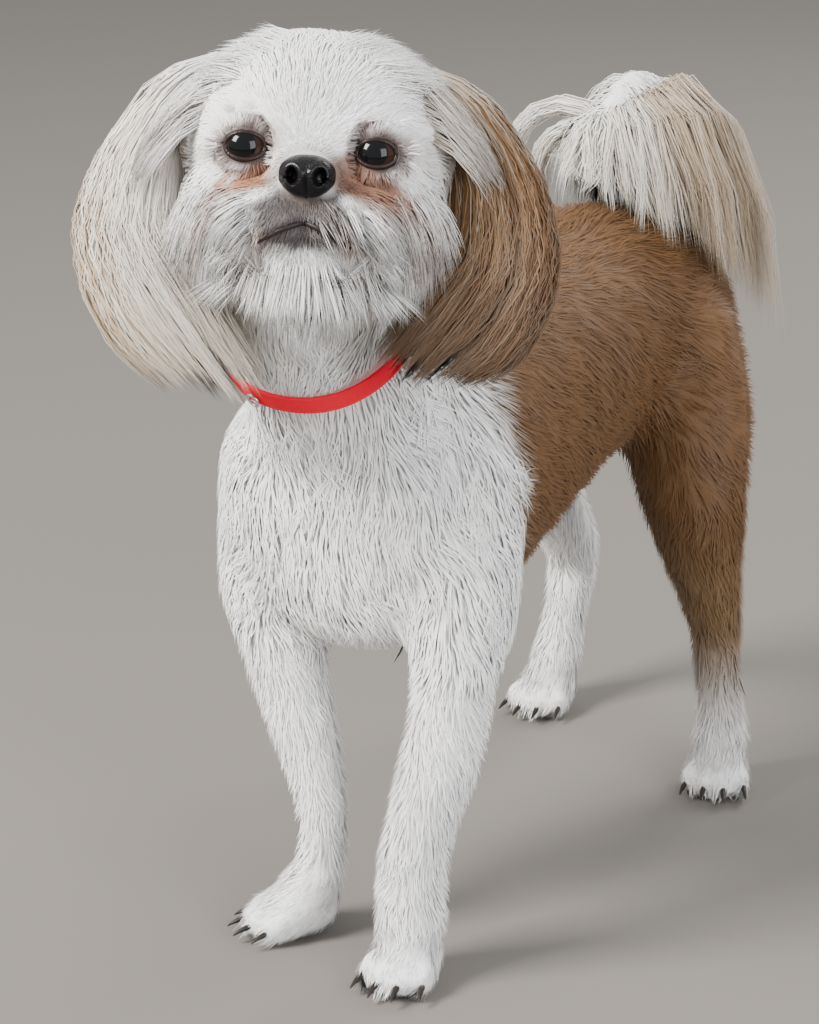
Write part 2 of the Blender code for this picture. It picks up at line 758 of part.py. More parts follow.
def build_head(frame):
    """Head with lids, lips, mouth line, nose and eyeballs."""
    solids = []
    for side, forward, up, *radii in HEAD_BLOBS:
        for sign in ((1, -1) if side else (1,)):
            solids.append(blob("lump", frame.at(sign * side, forward, up), radii, frame.axes()))
    solids.append(limb("nape", NECK[2:], count=24))
    for sign in (-1, 1):
        for upper in (True, False):
            solids.append(arc_tube("lid", frame, lid_points(sign, upper), LID_RADIUS))
    for lift, share in ((LIP_RADIUS, 0.95), (-LIP_RADIUS, 0.8)):
        points = mouth_points(lift, share, LIP_SUNK)
        solids.append(arc_tube("lip", frame, points, LIP_RADIUS))
    head = fused("head", solids, HEAD_VOXEL, HEAD_TRIANGLES, smooth=4)
    obstacle = surface_tree(head)
    lower = half_space("lower", *HEAD_CUT, sign=-1)
    boolean(head, lower)
    drop([lower])

    nose = build_nose(frame)
    pit = blob("pit", frame.at(*NOSE_AT), [r + GAP for r in NOSE_RADII], frame.axes(),
               EYE_SEGMENTS, EYE_RINGS)
    line = arc_tube("line", frame, mouth_points(sunk=MOUTH_SUNK), MOUTH_RADIUS, 6)
    cutters = [pit, line]
    eyes = []
    for sign, name in ((-1, "eye_right"), (1, "eye_left")):
        middle = eye_middle(frame, sign)
        eyes.append(blob(name, middle, [EYE_RADIUS] * 3, frame.axes(), EYE_SEGMENTS, EYE_RINGS))
        cutters.append(blob("socket", middle, [EYE_RADIUS + GAP] * 3, frame.axes(),
                            EYE_SEGMENTS, EYE_RINGS))
    for cutter in cutters:
        boolean(head, cutter)
    drop(cutters)
    head = union("head", keep_largest(head), face_locks(frame, obstacle, random.Random("face 1")))
    return head, nose, eyes, surface_tree(head)


def face_lock(frame, tree, root, flow, length, width):
    """Lock that starts under the face at a place and follows it along a flow."""
    step = length / FACE_LOCK_RINGS
    spot = Vector(frame.at(root[0], root[1], root[2]))
    hit, normal, _, _ = tree.find_nearest(spot)
    path = []
    outs = []
    point = hit.copy()
    for k in range(FACE_LOCK_RINGS + 1):
        share = k / FACE_LOCK_RINGS
        raised = -FACE_LOCK_SUNK if k == 0 else FACE_LOCK_LIFT * share
        path.append(np.array(point + normal * raised))
        outs.append(np.array(normal))
        side, forward, up = flow
        droop = np.array([0.0, 0.0, -FACE_DROOP * share])
        way = Vector(side * frame.side + forward * frame.forward + up * frame.up + droop)
        way -= normal * way.dot(normal)
        moved = point + way.normalized() * step
        nearest, new_normal, _, _ = tree.find_nearest(moved)
        if (moved - nearest).length < step * 0.8:
            point = nearest
            normal = new_normal
        else:
            point = moved
    return lock(np.array(path), outs, width, FACE_LOCK_DEPTH)


def face_locks(frame, tree, rng):
    """Chin, moustache and cheek locks of the face."""
    locks = []
    for side, forward, up, flow, length, width, count, spread in FACE_LOCKS:
        for i in range(count):
            share = i / (count - 1) - 0.5
            fan = 0.0 if side else 1.1 * share
            for sign in ((1, -1) if side else (1,)):
                root = (sign * (side + spread[0] * share) + rng.uniform(-0.001, 0.001),
                        forward + spread[1] * share, up + spread[2] * share)
                way = (sign * (flow[0] + fan) + rng.uniform(-0.15, 0.15), flow[1],
                       flow[2] + rng.uniform(-0.1, 0.1))
                locks.append(face_lock(frame, tree, root, way, length * rng.uniform(0.85, 1.15),
                                       width * rng.uniform(0.85, 1.15)))
    return locks


def build_nose(frame):
    """Nose leather with two nostrils."""
    nose = blob("nose", frame.at(*NOSE_AT), NOSE_RADII, frame.axes(), EYE_SEGMENTS, EYE_RINGS)
    side, forward, up = NOSE_AT
    for sign in (-1, 1):
        points = []
        for t in (0.0, 0.5, 1.0):
            points.append((side + sign * (NOSTRIL_SIDE + 0.0022 * t),
                           forward + NOSE_RADII[1] * (0.45 + 0.75 * (1 - t)),
                           up - 0.0006 + 0.0012 * t))
        hole = arc_tube("nostril", frame, points, NOSTRIL_RADIUS, 8)
        boolean(nose, hole)
        drop([hole])
    return keep_largest(nose)


def inside(tree, point):
    """Whether a closed surface holds a point, by the parity of crossings."""
    crossings = 0
    start = point.copy()
    while crossings < 40:
        hit, _, _, _ = tree.ray_cast(start, PROBE)
        if hit is None:
            break
        crossings += 1
        start = hit + PROBE * 1e-6
    return crossings % 2 == 1


def pushed_clear(obj, trees, distance):
    """Move points of a hair mesh out of the flesh, at least the distance clear of it."""
    for _ in range(3):
        for vert in obj.data.vertices:
            for tree in trees:
                spot, normal, _, gap = tree.find_nearest(vert.co)
                if gap < distance or inside(tree, vert.co):
                    vert.co = spot + normal * distance
    obj.data.update()
    return obj


def surface_tree(obj):
    """Search tree of an object's mesh."""
    return BVHTree.FromPolygons([v.co for v in obj.data.vertices],
                                [tuple(p.vertices) for p in obj.data.polygons])


def lock(path, outs, width, depth):
    """Closed flat tapering lock along a path, with a low ridge on its outer side."""
    tangents = np.gradient(path, axis=0)
    rings = len(path) - 1
    verts = []
    for i in range(rings):
        t = i / rings
        tangent = tangents[i] / np.linalg.norm(tangents[i])
        out = outs[i] - np.dot(outs[i], tangent) * tangent
        out /= np.linalg.norm(out)
        across = np.cross(tangent, out)
        half = 0.5 * width * (0.62 + 0.38 * math.sin(math.pi * t)) * (1.0 - t ** LOCK_FULLNESS)
        tall = depth * (1.0 - (1.0 - LOCK_END_SHARE) * t)
        verts += [path[i] - across * half - out * tall * 0.4,
                  path[i] + across * half - out * tall * 0.4,
                  path[i] + out * tall * 0.6]
    verts.append(path[rings])
    faces = [(0, 1, 2)]
    for i in range(rings - 1):
        for k in range(3):
            nxt = (k + 1) % 3
            faces.append((3 * i + k, 3 * i + nxt, 3 * i + 3 + nxt, 3 * i + 3 + k))
    last = 3 * (rings - 1)
    for k in range(3):
        faces.append((last + k, last + (k + 1) % 3, last + 3))
    obj = mesh_object("lock", verts, faces)
    face_outwards(obj)
    return obj


def union(name, core, locks):
    """Join locks to their core by one Boolean and keep the largest closed surface."""
    group = bpy.data.collections.new("locks")
    bpy.context.scene.collection.children.link(group)
    for obj in locks:
        group.objects.link(obj)
    combined(core, "UNION", group=group)
    drop(locks)
    bpy.data.collections.remove(group)
    core.name = name
    return keep_largest(core)


def path_clear(path, trees, distance):
    """Bend a path clear of the flesh beside it."""
    out = []
    for point in path:
        spot_point = Vector(point)
        for tree in trees:
            spot, normal, _, gap = tree.find_nearest(spot_point)
            if gap < distance or inside(tree, spot_point):
                spot_point = spot + normal * distance
        out.append(np.array(spot_point))
    return np.array(out)


class EarShape:
    """Places on and in one hanging ear, by length, angle around it and depth."""

    def __init__(self, frame, stations):
        rows = curve_points([(*frame.at(*row[:3]), row[3], row[4]) for row in stations], 8)
        self.path = rows[:, :3]
        self.wide = rows[:, 3]
        self.thick = rows[:, 4]
        self.sides, self.ups = path_frames(self.path, tuple(frame.side))
        self.last = self.path[-1] - self.path[-2]

    def pick(self, rows, t):
        """Row at a share of the length."""
        place = min(max(t, 0.0), 1.0) * (len(rows) - 1)
        low = min(int(place), len(rows) - 2)
        return rows[low] + (rows[low + 1] - rows[low]) * (place - low)

    def at(self, t, angle, share):
        """Point at a length, an angle around the flap and a share of its depth."""
        point = self.pick(self.path, t) + self.last * (len(self.path) - 1) * max(0.0, t - 1.0)
        side = self.pick(self.sides, t) * self.pick(self.wide, t)
        up = self.pick(self.ups, t) * self.pick(self.thick, t)
        return point + share * (side * math.cos(angle) + up * math.sin(angle))

    def out(self, t, angle):
        """Outward direction of the flap's surface."""
        side = self.pick(self.sides, t) / self.pick(self.wide, t)
        up = self.pick(self.ups, t) / self.pick(self.thick, t)
        away = side * math.cos(angle) + up * math.sin(angle)
        return away / np.linalg.norm(away)


def ear_locks(shape, trees, rng):
    """Locks that hang around one ear from its root to ragged tips."""
    locks = []
    golden = math.pi * (3.0 - math.sqrt(5.0))
    for i in range(EAR_LOCKS):
        angle = i * golden + rng.uniform(-0.2, 0.2)
        start = rng.uniform(0.04, 0.30)
        end = rng.uniform(0.84, 1.05)
        drift = rng.uniform(-0.35, 0.35)
        deep = 0.55 if i % 3 == 2 else 1.0
        path = []
        outs = []
        for k in range(LOCK_RINGS + 1):
            share = k / LOCK_RINGS
            t = start + (end - start) * share
            depth = deep * (0.40 + 0.58 * min(1.0, share * 2.6)) * (1.0 - 0.10 * share ** 2)
            path.append(shape.at(t, angle + drift * share, depth))
            outs.append(shape.out(min(t, 1.0), angle + drift * share))
        path = path_clear(np.array(path), trees, CLEAR + EAR_LOCK_DEPTH * 0.5)
        width = EAR_LOCK_WIDTH * rng.uniform(0.8, 1.25)
        piece_obj = lock(path, outs, width, EAR_LOCK_DEPTH * rng.uniform(0.85, 1.2))
        locks.append(pushed_clear(piece_obj, trees, CLEAR))
    return locks


def ear_core(name, shape, trees):
    """Upper flap of the ear that the locks grow from."""
    rows = []
    for t in np.linspace(0.0, EAR_CORE_END, 6):
        share = 0.78 * math.sqrt(max(0.05, 1.0 - (t / EAR_CORE_END) ** 3))
        rows.append((*shape.pick(shape.path, t), shape.pick(shape.wide, t) * share,
                     shape.pick(shape.thick, t) * share))
    core = limb(name, rows, reference=tuple(shape.sides[0]), steps=2, count=12)
    return pushed_clear(core, trees, CLEAR)


def build_ears(frame, head, trees):
    """Both ears of locks, each with a peg that sits in a pit of the head."""
    ears = []
    for name, stations, sign in (("ear_right", EAR_RIGHT, -1), ("ear_left", EAR_LEFT, 1)):
        rng = random.Random(name)
        shape = EarShape(frame, stations)
        core = ear_core(name, shape, trees)
        inner, outer, radius = EAR_PEG
        ends = [frame.at(sign * point[0], point[1], point[2]) for point in (inner, outer)]
        middle = (ends[0] + ends[1]) / 2
        peg = limb("peg", [(*p, radius) for p in (ends[0], middle, ends[1])],
                   reference=tuple(frame.up), steps=1, count=10)
        pit = limb("pit", [(*p, radius + GAP) for p in (ends[0], middle, ends[1])],
                   reference=tuple(frame.up), steps=1, count=10)
        boolean(head, pit)
        drop([pit])
        (side, forward, up), radii = EAR_CUP
        cup = blob("cup", frame.at(sign * side, forward, up), radii, frame.axes(), 12, 8)
        boolean(core, cup)
        drop([cup])
        ears.append(union(name, core, [peg] + ear_locks(shape, trees, rng)))
    return ears


def plume_locks(trees, rng):
    """Locks that rise off the stem and fall to all its sides, every third one shorter."""
    falls = np.array(PLUME_FALLS)
    locks = []
    for i in range(PLUME_LOCKS):
        place = (i + rng.uniform(-0.3, 0.3)) / PLUME_LOCKS * len(falls) % len(falls)
        low = int(place)
        high = (low + 1) % len(falls)
        points = falls[low] + (falls[high] - falls[low]) * (place - low)
        reach = rng.uniform(0.72, 0.82) if i % 3 == 2 else rng.uniform(0.94, 1.06)
        points = points[0] + (points - points[0]) * reach
        points[1:] += np.array([rng.uniform(-0.004, 0.004), rng.uniform(-0.005, 0.005),
                                rng.uniform(-0.003, 0.003)])
        away = points[2] - points[0]
        away[2] = 0.0
        away /= np.linalg.norm(away)
        across = np.array([-away[1], away[0], 0.0])
        smooth_path = curve_points(points, 5)
        places = np.linspace(0, len(smooth_path) - 1, LOCK_RINGS + 1)
        path = np.array([smooth_path[int(round(p))] for p in places])
        path = path_clear(path, trees, CLEAR + PLUME_LOCK_DEPTH * 0.5)
        outs = np.cross(across, np.gradient(path, axis=0))
        outs *= np.sign(np.sum(outs * (away + np.array([0.0, 0.0, 1.0])), axis=1))[:, None]
        width = PLUME_LOCK_WIDTH * rng.uniform(0.85, 1.2)
        piece_obj = lock(path, outs, width, PLUME_LOCK_DEPTH * rng.uniform(0.85, 1.2))
        locks.append(pushed_clear(piece_obj, trees, CLEAR))
    return locks


def build_tail(torso, trees):
    """Tail stem curling over the back, its root in a pit of the torso, and its plume."""
    stem = limb("tail", TAIL_STEM, steps=2, count=10)
    grown = [(*row[:3], row[3] + GAP) for row in TAIL_STEM]
    pit = limb("pit", grown[:TAIL_SUNK], steps=2, count=10)
    boolean(torso, pit)
    drop([pit])
    heart = blob("heart", *PLUME_CORE, segments=12, rings=8)
    return union("tail", stem, [heart] + plume_locks(trees, random.Random("plume 4")))


def collar_band(name, grow):
    """Flat band around the neck, or its grown copy for the groove."""
    normal = np.array(COLLAR_NORMAL) / np.linalg.norm(COLLAR_NORMAL)
    first = np.array([1.0, 0.0, 0.0]) - normal[0] * normal
    first /= np.linalg.norm(first)
    second = np.cross(normal, first)
    inner = COLLAR_RADIUS - COLLAR_THICKNESS - grow
    outer = COLLAR_RADIUS + grow
    tall = COLLAR_HALF_HEIGHT + grow
    count = 28
    verts = []
    faces = []
    section = ((inner, -tall), (outer, -tall), (outer, tall), (inner, tall))
    for k in range(count):
        angle = math.tau * k / count
        out = first * math.cos(angle) + second * math.sin(angle)
        for radius, lift in section:
            verts.append(np.array(COLLAR_AT) + out * radius + normal * lift)
        nxt = (k + 1) % count
        for s in range(4):
            t = (s + 1) % 4
            faces.append((k * 4 + s, k * 4 + t, nxt * 4 + t, nxt * 4 + s))
    obj = mesh_object(name, verts, faces)
    face_outwards(obj)
    return obj


def torus(name, middle, normal, radius, wire, count=14, sides=6):
    """Closed ring of round wire."""
    across = np.array(normal) / np.linalg.norm(normal)
    first = np.cross(across, (0.0, 0.0, 1.0))
    first /= np.linalg.norm(first)
    second = np.cross(across, first)
    verts = []
    faces = []
    for k in range(count):
        angle = math.tau * k / count
        out = first * math.cos(angle) + second * math.sin(angle)
        for s in range(sides):
            turn = math.tau * s / sides
            verts.append(np.array(middle) + out * (radius + wire * math.cos(turn))
                         + across * wire * math.sin(turn))
        nxt = (k + 1) % count
        for s in range(sides):
            t = (s + 1) % sides
            faces.append((k * sides + s, k * sides + t, nxt * sides + t, nxt * sides + s))
    obj = mesh_object(name, verts, faces)
    face_outwards(obj)
    return obj


def finish(nodes):
    """Give each node its material, smooth shading and the shared origin."""
    low = np.full(3, np.inf)
    high = np.full(3, -np.inf)
    for obj in nodes.values():
        points = np.array([tuple(v.co) for v in obj.data.vertices])
        low = np.minimum(low, points.min(axis=0))
        high = np.maximum(high, points.max(axis=0))
    shift = Matrix.Translation(Vector((-(low[0] + high[0]) / 2, -(low[1] + high[1]) / 2, -low[2])))
    print("origin shift", tuple(round(v, 5) for v in shift.translation))
    for name, obj in nodes.items():
        obj.data.transform(shift)
        obj.data.update()
        obj.data.materials.clear()
        obj.data.materials.append(node_material(name))
        for polygon in obj.data.polygons:
            polygon.use_smooth = True
        obj.name = name


def node_material(name):
    """Own material of one node."""
    if name.startswith("eye"):
        return material(f"{name}_material", BLACK, 0.1)
    if "claw" in name or name == "nose":
        return material(f"{name}_material", BLACK, 0.4)
    if name == "collar":
        return material(f"{name}_material", RED, 0.7)
    if name == "collar_ring":
        return material(f"{name}_material", STEEL, 0.3, 1.0)
    if name.startswith("ear"):
        return material(f"{name}_material", GOLD, 0.8)
    if name in ("torso", "hindleg_left", "hindleg_right"):
        return material(f"{name}_material", TAN, 0.9)
    return material(f"{name}_material", WHITE, 0.9)


def main():
    """Build every node."""
    clear_scene()
    frame = HeadFrame()
    nodes, body_tree = build_body()
    for paw, claw, pit in build_claws():
        boolean(nodes[paw], pit)
        drop([pit])
        nodes[claw.name] = claw
    head, nose, eyes, head_tree = build_head(frame)
    nodes.update({"head": head, "nose": nose, "eye_right": eyes[0], "eye_left": eyes[1]})

    collar = collar_band("collar", 0.0)
    groove = collar_band("groove", GAP)
    boolean(nodes["neck"], groove)
    drop([groove])
    nodes["collar"] = collar
    nodes["neck"] = keep_largest(nodes["neck"])
    out = np.array(RING_SIDE) / np.linalg.norm(RING_SIDE)
    across = np.array(COLLAR_NORMAL) / np.linalg.norm(COLLAR_NORMAL)
    ring_at = (np.array(COLLAR_AT) + out * (COLLAR_RADIUS + RING_WIRE + GAP)
               - across * RING_DROP)
    nodes["collar_ring"] = torus("collar_ring", ring_at, out, RING_RADIUS, RING_WIRE)

    trees = (head_tree, body_tree)
    for ear in build_ears(frame, head, trees):
        nodes[ear.name] = ear
    nodes["tail"] = build_tail(nodes["torso"], (body_tree,))
    finish(nodes)


main()
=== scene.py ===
"""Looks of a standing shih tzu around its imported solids.

One skin covers the flesh, a coat of fine mesh tufts grows on it along the lie of the
hair, and long strands make the ears and the tail plume. Eyes, nose, lips, claws, collar
and ring are pieces of their own. Sizes are in metres in the dog's own frame: +Z up, the
dog faces -Y and its left side is +X; place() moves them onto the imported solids.
"""

import logging
import math
from dataclasses import dataclass, field
from enum import Enum

import bmesh
import bpy
import numpy as np
from mathutils import Matrix, Vector
from mathutils.bvhtree import BVHTree


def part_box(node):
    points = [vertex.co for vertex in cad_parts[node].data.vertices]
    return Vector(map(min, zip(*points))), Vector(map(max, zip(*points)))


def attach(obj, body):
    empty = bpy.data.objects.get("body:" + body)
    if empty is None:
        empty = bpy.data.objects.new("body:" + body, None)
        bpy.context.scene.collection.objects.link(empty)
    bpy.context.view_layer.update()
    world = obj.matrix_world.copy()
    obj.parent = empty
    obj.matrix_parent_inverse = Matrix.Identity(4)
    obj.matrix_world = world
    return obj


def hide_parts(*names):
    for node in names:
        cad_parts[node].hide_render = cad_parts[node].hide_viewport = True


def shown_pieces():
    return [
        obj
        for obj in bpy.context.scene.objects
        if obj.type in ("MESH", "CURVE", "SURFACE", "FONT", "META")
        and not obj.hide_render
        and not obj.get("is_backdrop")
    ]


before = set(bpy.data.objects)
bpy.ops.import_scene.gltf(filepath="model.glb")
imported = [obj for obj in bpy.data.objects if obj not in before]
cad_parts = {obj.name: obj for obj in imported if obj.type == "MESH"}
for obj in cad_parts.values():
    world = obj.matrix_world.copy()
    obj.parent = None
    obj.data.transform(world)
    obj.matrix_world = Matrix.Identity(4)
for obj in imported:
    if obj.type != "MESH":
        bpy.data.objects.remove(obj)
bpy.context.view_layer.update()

BODY = "root"
COAT_MAP = "OFBake"
TINT = "tint"
WEAVE = "weave"
LOG = logging.getLogger("shih_tzu")
Array = np.ndarray
Mesh = tuple[Array, ...]


class Zone(Enum):
    """Parts of the coat that become pieces of their own, and the rings of their tufts."""

    FACE = ("coat_face", 2)
    SKULL = ("coat_skull", 2)
    CHEST = ("coat_chest", 2)
    FLANK = ("coat_flank", 1)
    FORELEGS = ("coat_forelegs", 1)
    HINDLEGS = ("coat_hindlegs", 1)
    PAWS = ("coat_paws", 1)


class Sheen(Enum):
    """Kinds of surface that a finish can have."""

    HAIR = "hair"
    SKIN = "skin"
    WET = "wet"
    LEATHER = "leather"
    WEB = "web"
    METAL = "metal"
    PLAIN = "plain"


def unit(rows: Array) -> Array:
    """Scale vectors to length one."""
    length = np.linalg.norm(rows, axis=-1, keepdims=True)
    return rows / np.maximum(length, 1e-12)


def step(low: float, high: float, value: Array) -> Array:
    """Rise smoothly from 0 at low to 1 at high."""
    t = np.clip((value - low) / (high - low), 0.0, 1.0)
    return t * t * (3.0 - 2.0 * t)


def mix(first: Array, second: Array, share: Array) -> Array:
    """Blend two colours or vectors row by row."""
    weight = np.asarray(share)[..., None]
    return np.asarray(first) * (1.0 - weight) + np.asarray(second) * weight


def vectors(*parts: Array | float) -> Array:
    """Join parts, each a number or one value a row, into rows of vectors."""
    return np.stack(np.broadcast_arrays(*parts), axis=-1).astype(float)


def noise(points: Array, scale: float, seed: int) -> Array:
    """Smooth value noise through space.

    Args:
        points: Rows of places.
        scale: Size of one bump.
        seed: Changes the pattern.

    Returns:
        Values from 0 to 1.
    """
    places = points / scale + seed * 17.31
    base = np.floor(places)
    part = places - base
    part = part * part * (3.0 - 2.0 * part)
    total = np.zeros(len(points))
    for corner in range(8):
        offset = np.array([(corner >> k) & 1 for k in range(3)])
        weight = np.prod(np.where(offset == 1, part, 1.0 - part), axis=1)
        total += weight * scatter(base + offset, seed)
    return total


def scatter(cells: Array, seed: int) -> Array:
    """Random value of each cell of a grid."""
    wave = np.sin(cells @ np.array([127.1, 311.7, 74.7]) + seed * 13.7) * 43758.5453
    return wave - np.floor(wave)


def curve(points: Array, count: int) -> Array:
    """Sample a smooth curve through rows of any length.

    Args:
        points: Rows that the curve passes.
        count: Number of samples.

    Returns:
        Samples spread evenly over the row numbers.
    """
    rows = np.asarray(points, dtype=float)
    padded = np.vstack([2 * rows[0] - rows[1], rows, 2 * rows[-1] - rows[-2]])
    places = np.linspace(0.0, len(rows) - 1.0, count)
    low = np.minimum(places.astype(int), len(rows) - 2)
    t = (places - low)[:, None]
    a, b, c, d = (padded[low + k] for k in range(4))
    return 0.5 * (2 * b + (c - a) * t + (2 * a - 5 * b + 4 * c - d) * t ** 2
                  + (3 * b - a - 3 * c + d) * t ** 3)


def turned(rows: Array, axes: Array, angles: Array) -> Array:
    """Turn rows around unit axes.

    Args:
        rows: Rows to turn.
        axes: Rows of unit axes.
        angles: Angle of each row in radians.

    Returns:
        Turned rows.
    """
    cos = np.cos(angles)[:, None]
    sin = np.sin(angles)[:, None]
    along = np.sum(rows * axes, axis=1, keepdims=True)
    return rows * cos + np.cross(axes, rows) * sin + axes * along * (1.0 - cos)


def bands(rows: int, count: int, closed: bool = False) -> Array:
    """Triangles between neighbouring rings of points.

    Args:
        rows: Number of rings.
        count: Points of each ring.
        closed: Whether the last ring joins the first.

    Returns:
        Rows of three point numbers.
    """
    ring = np.arange(count)
    after = (ring + 1) % count
    tris = []
    for row in range(rows if closed else rows - 1):
        low, high = row * count, (row + 1) % rows * count
        tris.append(np.stack([low + ring, low + after, high + after], axis=1))
        tris.append(np.stack([low + ring, high + after, high + ring], axis=1))
    return np.vstack(tris)


def shell(rings: Array) -> Mesh:
    """Close a stack of rings with a point at each end.

    Args:
        rings: Points as (ring, place on the ring, xyz).

    Returns:
        Points and triangles of a closed mesh.
    """
    rows, count, _ = rings.shape
    verts = np.vstack([rings.reshape(-1, 3), rings[0].mean(0)[None], rings[-1].mean(0)[None]])
    ring = np.arange(count)
    after = (ring + 1) % count
    end = (rows - 1) * count
    first = np.stack([np.full(count, rows * count), after, ring], axis=1)
    last = np.stack([np.full(count, rows * count + 1), end + ring, end + after], axis=1)
    return verts, np.vstack([bands(rows, count), first, last])


def tube(path: Array, wide: Array, deep: Array, reference: Array, count: int = 24) -> Mesh:
    """Make a closed tube with rounded ends.

    Args:
        path: Middle line.
        wide: Half width along the reference at each row.
        deep: Half depth across it at each row.
        reference: Direction that the width keeps to.
        count: Points around.

    Returns:
        Points and triangles.
    """
    tangents = unit(np.gradient(path, axis=0))
    sides = unit(reference - np.sum(tangents * reference, axis=1, keepdims=True) * tangents)
    ups = np.cross(tangents, sides)
    angle = np.arange(count) * math.tau / count
    rows = []
    for end in (0, len(path) - 1):
        away = -tangents[end] if end == 0 else tangents[end]
        reach = min(wide[end], deep[end])
        caps = []
        for lift in (0.35, 0.65, 0.88, 0.98):
            shrink = math.sqrt(1.0 - lift * lift)
            caps.append((path[end] + away * reach * lift, sides[end] * wide[end] * shrink,
                         ups[end] * deep[end] * shrink))
        if end == 0:
            rows += list(reversed(caps))
            rows += [(p, s * w, u * d) for p, s, w, u, d in zip(path, sides, wide, ups, deep)]
        else:
            rows += caps
    rings = np.array([mid + np.cos(angle)[:, None] * side + np.sin(angle)[:, None] * up
                      for mid, side, up in rows])
    return shell(rings)


def ellipsoid(middle: Array, radii: Array, axes: Array, count: int = 32) -> Mesh:
    """Make an ellipsoid.

    Args:
        middle: Its centre.
        radii: Its three radii.
        axes: Rows with the directions of the radii.
        count: Points around.

    Returns:
        Points and triangles.
    """
    angle = np.arange(count) * math.tau / count
    rings = []
    for lift in np.linspace(-0.5 * math.pi, 0.5 * math.pi, count // 2 + 1)[1:-1]:
        ring = vectors(math.cos(lift) * np.cos(angle), math.cos(lift) * np.sin(angle),
                       math.sin(lift))
        rings.append(middle + (ring * np.asarray(radii)) @ np.asarray(axes))
    return shell(np.array(rings))


@dataclass(frozen=True)
class HeadSizes:
    """Pose of the head and the lumps of flesh that shape it.

    Lumps are (side, forward, up, three radii) in the head's own axes and are mirrored
    where side is above zero.
    """

    middle: tuple = (0.026, -0.195, 0.352)
    yaw: float = 28.0
    pitch: float = 14.0
    roll: float = 3.0
    cut: tuple = ((0.010, -0.174, 0.302), (0.20, -0.46, 0.86))
    lumps: tuple = (
        (0.000, -0.004, 0.006, 0.053, 0.050, 0.044),
        (0.000, 0.014, 0.019, 0.041, 0.030, 0.030),
        (0.000, -0.026, -0.004, 0.044, 0.034, 0.038),
        (0.026, 0.006, -0.018, 0.026, 0.032, 0.026),
        (0.018, 0.026, -0.024, 0.020, 0.022, 0.020),
        (0.012, 0.041, -0.021, 0.0160, 0.0145, 0.0130),
        (0.000, 0.031, -0.037, 0.0230, 0.0190, 0.0140),
        (0.000, 0.040, -0.006, 0.0135, 0.0150, 0.0110),
        (0.024, 0.026, 0.001, 0.0135, 0.0125, 0.0125),
    )
    neck: tuple = (
        (0.000, -0.092, 0.212, 0.058, 0.060),
        (0.000, -0.122, 0.240, 0.046, 0.048),
        (0.001, -0.151, 0.267, 0.0342, 0.0350),
        (0.007, -0.172, 0.296, 0.032, 0.035),
        (0.018, -0.188, 0.330, 0.034, 0.036),
    )


@dataclass(frozen=True)
class EyeSizes:
    """Eyeballs and the openings of their lids."""

    side: float = 0.0238
    forward: float = 0.0325
    up: float = 0.0030
    radius: float = 0.0094
    half_wide: float = 0.0073
    half_tall: float = 0.0049
    lid_radius: float = 0.0021
    lid_open: float = 0.0076
    rim_radius: float = 0.0006
    bulge: float = 0.05
    iris: float = 60.0
    pupil: float = 32.0
    gaze: tuple = (-0.12, 1.0, 0.03)


@dataclass(frozen=True)
class MuzzleSizes:
    """Nose leather, nostrils and the line of the mouth, in the head's own axes."""

    nose: tuple = (0.000, 0.0518, -0.0068)
    nose_radii: tuple = (0.0110, 0.0080, 0.0082)
    nostril_side: float = 0.0050
    nostril_up: float = -0.0004
    nostril_radius: float = 0.0030
    nostril_depth: float = 0.0050
    mouth_half_width: float = 0.0175
    mouth_top: float = -0.0235
    mouth_drop: float = 0.0085
    lip_radius: float = 0.0030
    line_radius: float = 0.0011


@dataclass(frozen=True)
class EarSizes:
    """Stations (side, forward, up, half width, half thickness) of both ears."""

    right: tuple = (
        (-0.038, -0.012, 0.036, 0.008, 0.005),
        (-0.052, -0.010, 0.024, 0.012, 0.007),
        (-0.060, -0.009, 0.010, 0.014, 0.009),
        (-0.067, -0.006, -0.012, 0.019, 0.012),
        (-0.068, -0.003, -0.036, 0.022, 0.014),
        (-0.053, 0.000, -0.060, 0.024, 0.012),
        (-0.036, 0.002, -0.080, 0.018, 0.008),
    )
    left: tuple = (
        (0.038, -0.012, 0.035, 0.008, 0.005),
        (0.052, -0.010, 0.023, 0.012, 0.007),
        (0.061, -0.009, 0.008, 0.015, 0.009),
        (0.069, -0.006, -0.014, 0.020, 0.012),
        (0.069, -0.003, -0.038, 0.024, 0.014),
        (0.058, 0.000, -0.058, 0.025, 0.012),
        (0.045, 0.002, -0.073, 0.018, 0.008),
    )
    strands: int = 6600
    clumps: int = 115
    rings: int = 4
    width: float = 0.00072
    flap_end: float = 0.62


